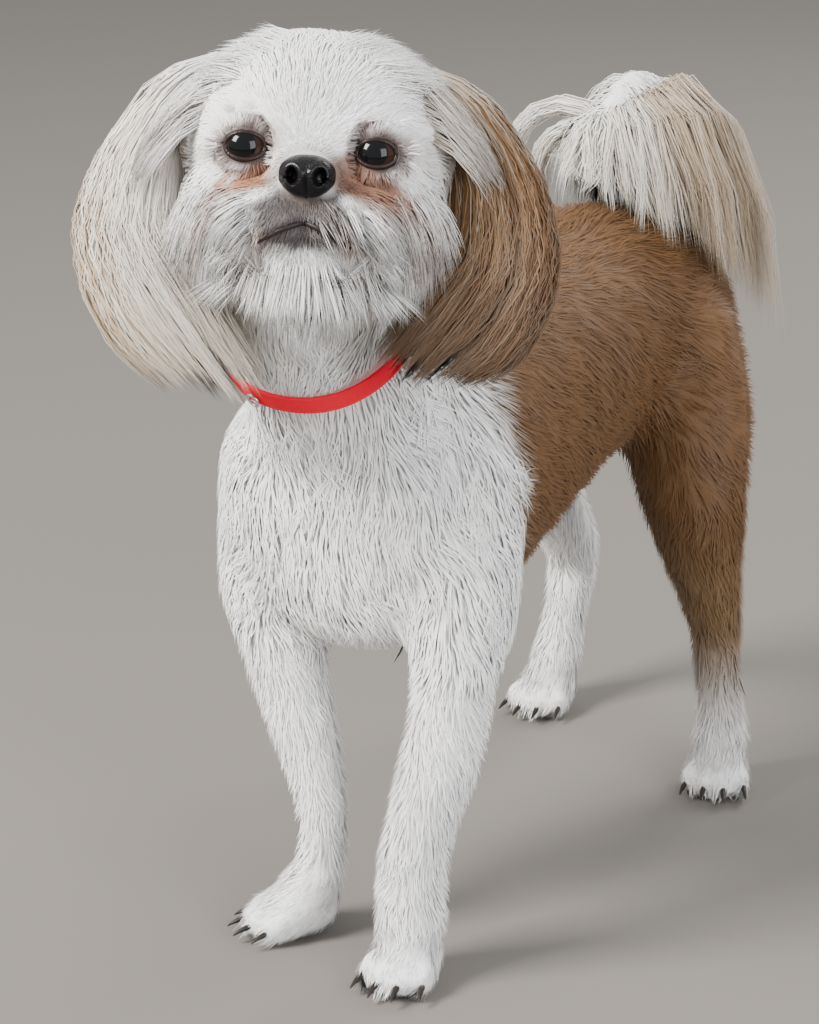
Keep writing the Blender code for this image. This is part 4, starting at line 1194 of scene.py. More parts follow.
    def melt(self) -> tuple[Array, Array, Array]:
        """Melt the solids into one closed surface.

        Returns:
            Points, triangles and normals.
        """
        verts = []
        tris = []
        start = 0
        for points, faces in self.solids():
            verts.append(points)
            tris.append(faces + start)
            start += len(points)
        data = bpy.data.meshes.new("flesh")
        fill_mesh(data, np.vstack(verts), np.vstack(tris))
        obj = bpy.data.objects.new("flesh", data)
        bpy.context.scene.collection.objects.link(obj)
        melt = obj.modifiers.new("melt", "REMESH")
        melt.mode = "VOXEL"
        melt.voxel_size = self.coat.skin_voxel
        soften = obj.modifiers.new("soften", "SMOOTH")
        soften.factor = 0.5
        soften.iterations = 6
        depsgraph = bpy.context.evaluated_depsgraph_get()
        melted = bpy.data.meshes.new_from_object(obj.evaluated_get(depsgraph))
        obj.modifiers.clear()
        obj.data = melted
        verts_now, tris_now, normals = read_mesh(melted)
        regions = Regions(self.head, self.sizes, verts_now)
        depth = Lie(self.head).depth(regions, self.eyes)
        moved = self.opened(verts_now - normals * depth[:, None])
        melted.vertices.foreach_set("co", moved.astype(np.float32).ravel())
        melted.update()
        thin = obj.modifiers.new("thin", "DECIMATE")
        thin.ratio = min(1.0, self.coat.skin_triangles / len(tris_now))
        depsgraph = bpy.context.evaluated_depsgraph_get()
        final = bpy.data.meshes.new_from_object(obj.evaluated_get(depsgraph))
        result = read_mesh(final)
        bpy.data.objects.remove(obj)
        return largest(*result)


def ellipse_share(side: Array, up: Array, sizes: EyeSizes) -> Array:
    """How far out places are from the middle of a lid opening, 1 at its edge."""
    return np.hypot(side / sizes.half_wide, up / sizes.half_tall)


def largest(verts: Array, tris: Array, normals: Array) -> tuple[Array, Array, Array]:
    """Keep the connected surface with the most triangles.

    Args:
        verts: Points.
        tris: Triangles.
        normals: Point normals.

    Returns:
        The three arrays of that surface.
    """
    label = np.arange(len(verts))
    while True:
        low = label[tris].min(axis=1)
        after = label.copy()
        for k in range(3):
            np.minimum.at(after, tris[:, k], low)
        after = after[after]
        if np.array_equal(after, label):
            break
        label = after
    names, counts = np.unique(label[tris[:, 0]], return_counts=True)
    keep = label[tris[:, 0]] == names[np.argmax(counts)]
    used = np.unique(tris[keep])
    number = np.full(len(verts), -1)
    number[used] = np.arange(len(used))
    return verts[used], number[tris[keep]], normals[used]


class Atlas:
    """Unwraps the skin by parts, each seen along the six main directions."""

    columns = 8
    rows = 6

    def __init__(self, verts: Array, tris: Array, regions: Regions) -> None:
        """Lay every triangle of the skin onto the map.

        Args:
            verts: Points of the skin.
            tris: Triangles of the skin.
            regions: Weights at the points.
        """
        corners = verts[tris]
        middles = corners.mean(axis=1)
        normals = unit(np.cross(corners[:, 1] - corners[:, 0], corners[:, 2] - corners[:, 0]))
        self.part = self.parts(middles, regions, tris)
        axis = np.argmax(np.abs(normals), axis=1)
        sign = np.take_along_axis(normals, axis[:, None], axis=1)[:, 0] > 0
        chart = axis * 2 + sign
        flat = np.array([[1, 2], [0, 2], [0, 1]])[axis]
        low = np.empty((len(tris), 2))
        size = np.empty((len(tris), 2))
        for part in range(self.columns):
            rows = self.part == part
            if not rows.any():
                continue
            start = corners[rows].reshape(-1, 3).min(axis=0)
            reach = np.maximum(corners[rows].reshape(-1, 3).max(axis=0) - start, 1e-6)
            low[rows] = start[flat[rows]]
            size[rows] = reach[flat[rows]]
        spot = np.take_along_axis(corners, flat[:, None, :].repeat(3, axis=1), axis=2)
        share = (spot - low[:, None]) / size[:, None]
        cell = np.stack([self.part, chart], axis=1)[:, None]
        grid = np.array([self.columns, self.rows])
        self.uvs = (cell + 0.03 + 0.94 * share) / grid

    @staticmethod
    def parts(middles: Array, regions: Regions, tris: Array) -> Array:
        """Number the part of the body of each triangle.

        Args:
            middles: Middles of the triangles.
            regions: Weights of the points.
            tris: Triangles.

        Returns:
            A number from 0 to 7.
        """
        x, y, z = middles.T
        head = regions.head[tris[:, 0]] > 0.5
        tail = regions.tail[tris[:, 0]] > 0.5
        low = z < 0.140
        part = np.where(y < -0.118, 1, 0)
        part = np.where(low & (y < 0.0) & (x > 0.0), 2, part)
        part = np.where(low & (y < 0.0) & (x <= 0.0), 3, part)
        part = np.where(low & (y >= 0.0) & (x > 0.0), 4, part)
        part = np.where(low & (y >= 0.0) & (x <= 0.0), 5, part)
        part = np.where(tail, 6, part)
        return np.where(head, 7, part)


@dataclass
class Coat:
    """Short and middling tufts over the whole skin."""

    head: HeadFrame
    sizes: HeadSizes
    eyes: EyeSizes
    muzzle: MuzzleSizes
    collar: CollarSizes
    coat: CoatSizes
    markings: Markings
    rng: np.random.Generator = field(default_factory=lambda: np.random.default_rng(7))

    def roots(self, verts: Array, tris: Array, normals: Array, uvs: Array,
              regions: Regions) -> tuple[Array, Array, Array]:
        """Spread roots over the skin, denser on the face and feet.

        Args:
            verts: Skin points.
            tris: Skin triangles.
            normals: Skin point normals.
            uvs: Map places of the triangles' corners.
            regions: Weights of the skin points.

        Returns:
            Root places, normals and map places.
        """
        weight = ROOT_DENSITY.at(regions) + 2.6 * self.by_eye(regions, 0.0190, 0.0110)
        corners = verts[tris]
        area = np.linalg.norm(np.cross(corners[:, 1] - corners[:, 0],
                                       corners[:, 2] - corners[:, 0]), axis=1)
        share = np.cumsum(area * weight[tris].mean(axis=1))
        picks = (np.arange(self.coat.tufts) + self.rng.random(self.coat.tufts)) / self.coat.tufts
        chosen = np.searchsorted(share, picks * share[-1])
        chosen = np.minimum(chosen, len(tris) - 1)
        a, b = self.rng.random((2, len(chosen)))
        flip = a + b > 1.0
        a = np.where(flip, 1.0 - a, a)
        b = np.where(flip, 1.0 - b, b)
        bary = np.stack([1.0 - a - b, a, b], axis=1)[..., None]
        return ((corners[chosen] * bary).sum(axis=1),
                unit((normals[tris[chosen]] * bary).sum(axis=1)),
                (uvs[chosen] * bary).sum(axis=1))

    def kept(self, points: Array, local: Array) -> Array:
        """Roots outside eyes, nose and collar band.

        Args:
            points: Root places.
            local: The same in the head's axes.

        Returns:
            Which roots stay.
        """
        side, forward, up = local.T
        keep = np.ones(len(points), bool)
        for sign in (-1.0, 1.0):
            across = (side - sign * self.eyes.side) / (self.eyes.half_wide + 0.0005)
            rise = (up - self.eyes.up) / (self.eyes.half_tall + 0.0005)
            keep &= ~((across ** 2 + rise ** 2 < 1.0) & (forward > 0.020))
        nose = (local - np.array(self.muzzle.nose)) / (np.array(self.muzzle.nose_radii) * 1.06)
        keep &= np.sum(nose ** 2, axis=1) > 1.0
        band = self.collar
        normal = unit(np.array(band.normal))
        apart = points - np.array(band.middle)
        height = apart @ normal
        around = np.linalg.norm(apart - height[:, None] * normal, axis=1)
        keep &= ~((np.abs(height) < band.half_height + 0.0010) & (around < 0.055))
        return keep

    def shortened(self, points: Array, flow: Array, length: Array) -> Array:
        """Shorten hair above the collar so that it ends at the band.

        Args:
            points: Root places.
            flow: Directions.
            length: Lengths.

        Returns:
            Lengths that leave the band in sight.
        """
        normal = unit(np.array(self.collar.normal))
        apart = points - np.array(self.collar.middle)
        height = apart @ normal
        around = np.linalg.norm(apart - height[:, None] * normal, axis=1)
        sinking = np.maximum(-(flow @ normal), 0.05)
        room = np.maximum((height - self.collar.half_height * 1.0) / sinking, 0.002)
        above = (height > 0.0) & (height < 0.04) & (around < 0.060)
        return np.where(above, np.minimum(length, room), length)

    def grow(self, verts: Array, tris: Array, normals: Array, uvs: Array,
             regions: Regions) -> dict[str, tuple[Mesh, Array, Array]]:
        """Grow every tuft.

        Args:
            verts: Skin points.
            tris: Skin triangles.
            normals: Skin point normals.
            uvs: Map places of the corners.
            regions: Weights of the skin points.

        Returns:
            Mesh, colours and map places of each piece by name.
        """
        points, outs, places = self.roots(verts, tris, normals, uvs, regions)
        keep = self.kept(points, self.head.local(points))
        points, outs, places = points[keep], outs[keep], places[keep]
        here = Regions(self.head, self.sizes, points)
        count = len(points)
        lie = Lie(self.head)
        flow = self.near_eyes(here, lie.flow(here))
        flow = unit(flow - np.sum(flow * outs, axis=1, keepdims=True) * outs)
        calm = 1.0 - 0.6 * np.maximum(here.near_nose, here.paw) - 0.35 * here.skull_back
        angle = calm * ((1.1 + 0.9 * here.chest) * (noise(points, 0.016, 3) - 0.5)
                        + 1.0 * (noise(points, 0.006, 4) - 0.5)
                        + 0.14 * self.rng.standard_normal(count))
        flow = turned(flow, outs, angle)
        length = TUFT_LENGTH.at(here) * (0.72 + 0.45 * noise(points, 0.010, 5)
                                         + 0.22 * self.rng.random(count))
        length = self.eye_length(here, length)
        length = self.shortened(points, flow, length)
        depth = lie.depth(here, self.eyes)
        lift = depth * (0.10 + 0.85 * self.rng.random(count) + 0.15 * noise(points, 0.008, 6))
        lift = np.maximum(lift, 0.05 * length)
        pull = self.clump(points, outs, length)
        tree = BVHTree.FromPolygons(verts.tolist(), tris.tolist())
        paths = np.empty((count, 3, 3))
        sides = np.empty((count, 3, 3))
        close = self.by_eye(here, 0.0150, 0.0110)
        lift = np.maximum(lift, 0.0007 * close)
        paths[:, 0] = points - outs * (self.coat.sunk * (1.0 - 0.8 * close))[:, None]
        sides[:, 0] = outs
        for k, share, rise in ((1, 0.5, 0.75), (2, 1.0, 1.0)):
            spots = points + flow * (length * share)[:, None] + pull * share ** 1.5
            spots[:, 2] -= 0.10 * length * share ** 2
            paths[:, k], sides[:, k], free = self.laid(tree, spots, outs, length * share)
            paths[:, k] += sides[:, k] * (lift * rise)[:, None]
        paths[:, :, 2] = np.maximum(paths[:, :, 2], 0.0008)
        width = self.width(here) * self.rng.uniform(0.7, 1.3, count)
        color = self.markings.coat(here)
        shade = (0.92 + 0.14 * self.rng.random(count))[:, None]
        bright = np.clip(color.mean(axis=1, keepdims=True) / 0.8, 0.0, 1.0)
        # Painted shade: each root is darkened below the coat colour (to 0.92 for white hair, 0.70
        # for dark hair) as if shaded deep in the coat; tips are lifted to 1.04.
        root = color * (0.70 + 0.22 * bright) * shade
        there = Regions(self.head, self.sizes, points + 0.85 * (paths[:, 2] - points))
        tip = mix(color, self.markings.coat(there), np.full(count, 0.75)) * 1.04 * shade
        hanging = np.maximum(free, here.face * step(-0.020, -0.032, here.local[:, 2]))
        return self.pieces(here, paths, sides, width, 0.36 + 1.4 * hanging, root, tip, places)

    @staticmethod
    def laid(tree: BVHTree, spots: Array, outs: Array, reach: Array
             ) -> tuple[Array, Array, Array]:
        """Lay places onto the skin, except where they hang free beyond it.

        Args:
            tree: Search tree of the skin.
            spots: Places to lay.
            outs: Outward directions at the roots.
            reach: Distance of each place from its root.

        Returns:
            Laid places, their outward directions and how freely each hangs.
        """
        found = [tree.find_nearest(spot)[:2] for spot in spots.tolist()]
        places = np.array([tuple(place) for place, _ in found])
        normals = np.array([tuple(normal) for _, normal in found])
        gap = np.linalg.norm(places - spots, axis=1) / np.maximum(reach, 1e-6)
        free = step(0.45, 0.85, gap)
        agree = step(-0.1, 0.6, np.sum(normals * outs, axis=1)) * (1.0 - free)
        return mix(places, spots, free), unit(mix(outs, normals, agree)), free

    def near_eyes(self, here: Regions, flow: Array) -> Array:
        """Turn the hair around each eye away from it.

        Args:
            here: Roots.
            flow: Directions so far.

        Returns:
            Directions.
        """
        for sign in (-1.0, 1.0):
            middle = np.array([sign * self.eyes.side, self.eyes.forward, self.eyes.up])
            apart = here.local - middle
            gap = np.linalg.norm(apart, axis=1)
            near = 0.80 * step(0.0150, 0.0095, gap) * here.head
            flow = mix(flow, unit(apart) @ self.head.axes, near)
        return unit(flow)

    def eye_length(self, here: Regions, length: Array) -> Array:
        """Shorten the hair around the eyes."""
        near = self.by_eye(here, 0.0190, 0.0095)
        return length * (1.0 - near) + 0.0046 * near

    def by_eye(self, here: Regions, far: float, near: float) -> Array:
        """Weight of places by the eyes.

        Args:
            here: Places.
            far: Distance with weight 0.
            near: Distance with weight 1.

        Returns:
            One weight a place.
        """
        weight = np.zeros(len(here.points))
        for sign in (-1.0, 1.0):
            middle = np.array([sign * self.eyes.side, self.eyes.forward, self.eyes.up])
            gap = np.linalg.norm(here.local - middle, axis=1)
            weight = np.maximum(weight, step(far, near, gap) * here.head)
        return weight

    def clump(self, points: Array, outs: Array, length: Array) -> Array:
        """Draw the tips of neighbouring tufts together.

        Args:
            points: Roots.
            outs: Normals.
            length: Lengths.

        Returns:
            Shift of each tip.
        """
        cells = np.floor(points / self.coat.clump)
        offset = np.stack([scatter(cells, k) for k in (21, 22, 23)], axis=1)
        middle = (cells + 0.2 + 0.6 * offset) * self.coat.clump
        pull = middle - points
        pull -= np.sum(pull * outs, axis=1, keepdims=True) * outs
        return pull * np.clip(length / 0.014, 0.1, 1.0)[:, None] * 0.36

    def width(self, here: Regions) -> Array:
        """Width of the tufts."""
        return TUFT_WIDTH.at(here) + 0.00022 * self.by_eye(here, 0.0170, 0.0110)

    def pieces(self, here: Regions, paths: Array, outs: Array, width: Array, roundness: Array,
               root: Array, tip: Array, places: Array) -> dict[str, tuple[Mesh, Array, Array]]:
        """Divide the tufts into pieces by zone and size.

        Args:
            here: Roots.
            paths: Middle lines.
            outs: Outward directions.
            width: Widths.
            roundness: How far the soft normals turn sideways.
            root: Root colours.
            tip: Tip colours.
            places: Map places.

        Returns:
            Mesh, colours and map places of each piece by name.
        """
        x, y, z = here.points.T
        within = {
            Zone.FLANK: y >= -0.104,
            Zone.CHEST: y < -0.104,
            Zone.FORELEGS: (z < 0.140) & (y < 0.0),
            Zone.HINDLEGS: (z < 0.160) & (y >= 0.0) & (np.abs(x) > 0.022),
            Zone.PAWS: z < 0.036,
            Zone.SKULL: here.head > 0.5,
            Zone.FACE: here.face > 0.5,
        }
        order = list(Zone)
        zone = np.zeros(len(x), int)
        for kind, inside in within.items():
            zone[inside] = order.index(kind)
        found = {}
        for number, kind in enumerate(order):
            name, rings = kind.value
            rows = np.flatnonzero(zone == number)
            parts = max(1, math.ceil(len(rows) * (6 * rings - 2) / self.coat.piece_triangles))
            used = np.array([0, 1, 2] if rings == 2 else [0, 2])
            for part in range(parts):
                some = rows[part::parts]
                mesh = StrandMesh.build(paths[some][:, used], outs[some][:, used], width[some],
                                        roundness[some])
                found[f"{name}_{part + 1}"] = (
                    mesh, StrandMesh.spread(root[some], tip[some], rings),
                    StrandMesh.patch(places[some], rings))
        return found


@dataclass
class FaceHair:
    """Longer strands of chin, moustache, cheeks and forehead."""

    head: HeadFrame
    sizes: HeadSizes
    markings: Markings

    @dataclass(frozen=True)
    class Patch:
        """One field of strands in the head's axes, on one or both sides."""

        low: tuple
        high: tuple
        count: int
        length: float
        lift: float
        flow: tuple
        fan: float = 0.0
        droop: float = 0.22
        sides: tuple = (1.0, -1.0)
        hug: float = 0.9
        gold: float = 0.0

    patches = (
        Patch((-0.024, 0.016, -0.054), (0.024, 0.060, -0.034), 1400, 0.022, 0.0030,
              (0.0, 0.05, -1.0), 0.5, sides=(1.0,)),
        Patch((0.017, 0.026, -0.034), (0.032, 0.060, -0.010), 460, 0.018, 0.0022,
              (0.85, -0.2, -0.65)),
        Patch((0.002, 0.040, -0.022), (0.015, 0.062, -0.014), 42, 0.014, 0.0016,
              (0.55, 0.1, -0.90), sides=(1.0,)),
        Patch((0.026, 0.000, -0.040), (0.052, 0.036, -0.008), 900, 0.026, 0.0042,
              (0.40, -0.4, -0.90)),
        Patch((0.030, -0.026, 0.010), (0.056, 0.022, 0.046), 1150, 0.028, 0.0036,
              (1.00, -0.10, -0.35), droop=0.55, hug=0.35, gold=0.75),
        Patch((0.004, -0.020, 0.026), (0.036, 0.034, 0.058), 1350, 0.024, 0.0030,
              (0.90, -0.75, 0.10), droop=0.12),
    )

    def grow(self, verts: Array, tris: Array, normals: Array, uvs: Array
             ) -> tuple[Mesh, Array, Array]:
        """Grow the strands of every patch.

        Args:
            verts: Skin points.
            tris: Skin triangles.
            normals: Skin point normals.
            uvs: Map places of the triangles' corners.

        Returns:
            Mesh, colours and map places.
        """
        rng = np.random.default_rng(23)
        middles = verts[tris].mean(axis=1)
        local = self.head.local(middles)
        rings = 3
        t = np.arange(rings + 1) / rings
        all_paths, all_outs, all_width = [], [], []
        all_color, all_tip, all_place = [], [], []
        for patch in self.patches:
            for sign in patch.sides:
                spot = local * np.array([sign, 1.0, 1.0])
                inside = np.flatnonzero(np.all((spot > patch.low) & (spot < patch.high), axis=1))
                if not len(inside):
                    continue
                chosen = rng.choice(inside, patch.count)
                root = middles[chosen] + rng.normal(0.0, 0.0004, (patch.count, 3))
                out = unit(normals[tris[chosen]].mean(axis=1))
                way = np.array(patch.flow) * np.array([sign, 1.0, 1.0])
                way = way + vectors(patch.fan * local[chosen, 0] / 0.025, 0.0, 0.0)
                way = way @ self.head.axes
                way = unit(way - patch.hug * np.sum(way * out, axis=1, keepdims=True) * out)
                angle = (0.9 * (noise(root, 0.009, 8) - 0.5)
                         + 0.13 * rng.standard_normal(patch.count))
                way = turned(way, out, angle)
                length = patch.length * (0.65 + 0.5 * noise(root, 0.007, 9)
                                         + 0.15 * rng.random(patch.count))
                lift = patch.lift * (0.5 + 0.8 * rng.random(patch.count))
                cells = np.floor(root / 0.005)
                pull = (cells + 0.5) * 0.005 - root
                pull -= np.sum(pull * out, axis=1, keepdims=True) * out
                path = (root[:, None] + way[:, None] * (length[:, None] * t)[..., None]
                        + out[:, None] * (lift[:, None] * np.sin(0.5 * np.pi * t))[..., None]
                        + 0.65 * pull[:, None] * (t ** 1.3)[None, :, None])
                path[:, :, 2] -= patch.droop * length[:, None] * t ** 2
                path[:, 0] -= out * 0.0012
                color = self.markings.coat(Regions(self.head, self.sizes, root))
                streak = step(0.35, 0.75, noise(root, 0.005, 12))
                share = 0.5 + 0.5 * streak if sign > 0 else 0.4 * streak
                color = mix(color, Markings.gold * 0.8, patch.gold * share)
                there = self.markings.coat(Regions(self.head, self.sizes, path[:, -1]))
                all_tip.append(mix(color, there, np.full(patch.count, 0.8)))
                all_paths.append(path)
                all_outs.append(np.repeat(out[:, None], rings + 1, axis=1))
                all_width.append(0.00060 * rng.uniform(0.7, 1.25, patch.count))
                all_color.append(color * rng.uniform(0.90, 1.06, patch.count)[:, None])
                all_place.append(uvs[chosen].mean(axis=1))
        color = np.vstack(all_color)
        mesh = StrandMesh.build(np.vstack(all_paths), np.vstack(all_outs), np.hstack(all_width))
        bleach = 0.5 * np.clip(color.mean(axis=1) * 2.2 - 0.6, 0.1, 1.0)
        tip = mix(np.vstack(all_tip), Markings.white, bleach)
        return (mesh[:2], StrandMesh.spread(color * 0.90, tip, rings),
                StrandMesh.patch(np.vstack(all_place), rings))


class Ear:
    """One hanging ear: a flap of skin under long silky strands."""

    deepen = np.array([0.51, 0.39, 0.26])

    def __init__(self, head: HeadFrame, sizes: EarSizes, stations: tuple, sign: float) -> None:
        """Work out the ear's curve and its sides from the stations.

        Args:
            head: Axes of the head.
            sizes: Sizes of both ears.
            stations: Middle line of this ear.
            sign: +1 for the left ear, -1 for the right one.
        """
        rows = curve([(*head.out(row[:3]), row[3], row[4]) for row in stations], 60)
        self.sizes = sizes
        self.sign = sign
        self.path = rows[:, :3]
        self.wide = rows[:, 3]
        self.thick = rows[:, 4]
        tangents = unit(np.gradient(self.path, axis=0))
        side = head.axes[0]
        self.sides = unit(side - np.sum(tangents * side, axis=1, keepdims=True) * tangents)
        self.ups = np.cross(tangents, self.sides)
        self.rng = np.random.default_rng(31 if sign > 0 else 32)

    def pick(self, rows: Array, t: Array) -> Array:
        """Rows at shares of the length, going straight on past the end.

        Args:
            rows: Rows along the ear.
            t: Shares of the length.

        Returns:
            Rows at the shares.
        """
        place = np.clip(t, 0.0, 1.3) * (len(rows) - 1)
        low = np.clip(place.astype(int), 0, len(rows) - 2)
        part = (place - low)
        part = part[..., None] if rows.ndim > 1 else part
        return rows[low] + (rows[low + 1] - rows[low]) * part

    def at(self, t: Array, angle: Array, share: Array) -> tuple[Array, Array]:
        """Places on the ear and their outward directions.

        Args:
            t: Shares of the length.
            angle: Angles around the flap.
            share: Shares of its depth.

        Returns:
            Places and directions.
        """
        wide = np.maximum(self.pick(self.wide, np.minimum(t, 1.0)), 0.003)
        thick = np.maximum(self.pick(self.thick, np.minimum(t, 1.0)), 0.002)
        side = self.pick(self.sides, np.minimum(t, 1.0))
        up = self.pick(self.ups, np.minimum(t, 1.0))
        cos, sin = np.cos(angle)[..., None], np.sin(angle)[..., None]
        spot = self.pick(self.path, t) + share[..., None] * (
            side * wide[..., None] * cos + up * thick[..., None] * sin)
        away = unit(side * cos / wide[..., None] + up * sin / thick[..., None])
        return spot, away

    def flap(self) -> tuple[Mesh, Array, Array]:
        """Closed flap of skin under the hair.

        Returns:
            Mesh, colours and map places.
        """
        t = np.linspace(0.0, self.sizes.flap_end, 24)
        angle = np.arange(28) * math.tau / 28
        share = 0.76 * np.sqrt(np.clip(1.0 - (t / self.sizes.flap_end) ** 3, 0.02, 1.0))
        grid_t, grid_angle = np.meshgrid(t, angle, indexing="ij")
        share *= np.sqrt(np.clip(t / 0.16, 0.08, 1.0))
        rings, _ = self.at(grid_t, grid_angle, np.repeat(share[:, None], 28, axis=1))
        verts, tris = shell(rings)
        base = Markings.gold if self.sign > 0 else Markings.cream * 0.9
        color = np.tile(base, (len(verts), 1))
        uvs = np.zeros((len(verts), 2))
        uvs[:-2, 0] = grid_angle.ravel() / math.tau * 0.9 + 0.05
        uvs[:-2, 1] = grid_t.ravel() * 0.9 + 0.05
        uvs[-2:] = ((0.5, 0.03), (0.5, 0.6))
        return (verts, tris), color, uvs

    def color(self, angle: Array, t: Array, clump: Array) -> Array:
        """Colour of the strands: one ear creamy, the other golden, both streaked.

        Args:
            angle: Angle around the ear.
            t: Share of the length.
            clump: Clump numbers.

        Returns:
            Colours.
        """
        spot = vectors(np.cos(angle) * 2.0, np.sin(angle) * 2.0, clump * 0.37)
        streak = noise(spot, 0.45, 41)
        thin = noise(spot, 0.16, 42)
        if self.sign > 0:
            outer = step(-0.7, 0.9, np.cos(angle))
            pale = np.clip(-0.42 + 1.20 * streak * (1.0 - 0.30 * outer), 0.0, 1.0)
            base = mix(mix(Markings.tan, Markings.gold, thin), Markings.cream, pale)
            base = mix(base, Markings.umber, 0.70 * step(0.50, 0.75, thin))
            base = mix(base * self.deepen, Markings.cream, 0.5 * step(0.08, 0.01, t))
            return mix(base, Markings.grey, 0.72 * step(0.80, 1.02, t) * (0.4 + 0.6 * streak))
        outer = step(0.3, -0.85, np.cos(angle))
        base = mix(Markings.white * 0.86, Markings.cream * 0.80, np.clip(0.5 + 0.9 * streak, 0, 1))
        base = mix(base, Markings.gold, 0.85 * outer * step(0.34, 0.55, thin) * step(0.1, 0.35, t))
        base = mix(base, Markings.white, 0.9 * step(0.30, 0.08, t))
        return mix(base, Markings.tan, 0.45 * step(0.86, 1.04, t) * streak)

    def strands(self) -> tuple[Mesh, Array, Array]:
        """Long strands around the flap.

        Returns:
            Mesh, colours and map places.
        """
        sizes = self.sizes
        count = sizes.strands
        rng = self.rng
        rings = sizes.rings
        share = np.arange(rings + 1)[None] / rings
        angle = rng.random(count) * math.tau
        clump = np.floor(angle / math.tau * sizes.clumps)
        middle = (clump + 0.5 + 0.3 * (rng.random(count) - 0.5)) * math.tau / sizes.clumps
        start = rng.random(count) ** 1.25 * 0.62
        outer = step(-0.2, 0.9, self.sign * np.cos(middle))
        clump_end = 1.03 + 0.12 * scatter(vectors(clump, clump, clump), 51) - 0.13 * outer
        end = np.minimum(start + 0.38 + 0.55 * rng.random(count), clump_end)
        end = end - 0.05 * rng.random(count)
        end = np.maximum(end, start + 0.25)
        layer = rng.uniform(0.68, 1.04, count)
        t = start[:, None] + (end - start)[:, None] * share
        wave = 0.10 * np.sin(math.tau * (1.1 * share + rng.random(count)[:, None])) * share
        bundle = 0.75 * step(0.25, 1.0, t)
        around = angle[:, None] + (middle - angle)[:, None] * bundle + wave
        drift = 0.30 * (scatter(vectors(clump, clump * 3, clump), 52) - 0.5)
        around = around + drift[:, None] * t
        depth = layer[:, None] * (0.55 + 0.45 * np.minimum(1.0, share * 2.5))
        paths, outs = self.at(t, around, depth)
        color = self.color(middle, end, clump)
        root = self.color(middle, start, clump)
        shade = rng.uniform(0.86, 1.08, count)[:, None]
        width = sizes.width * rng.uniform(0.65, 1.35, count)
        places = np.stack([0.05 + 0.9 * (angle / math.tau), 0.05 + 0.9 * start], axis=1)
        mesh = StrandMesh.build(paths, outs, width, 0.8)
        return (mesh, StrandMesh.spread(root * 0.92 * shade, color * 1.03 * shade, rings),
                StrandMesh.patch(places, rings))


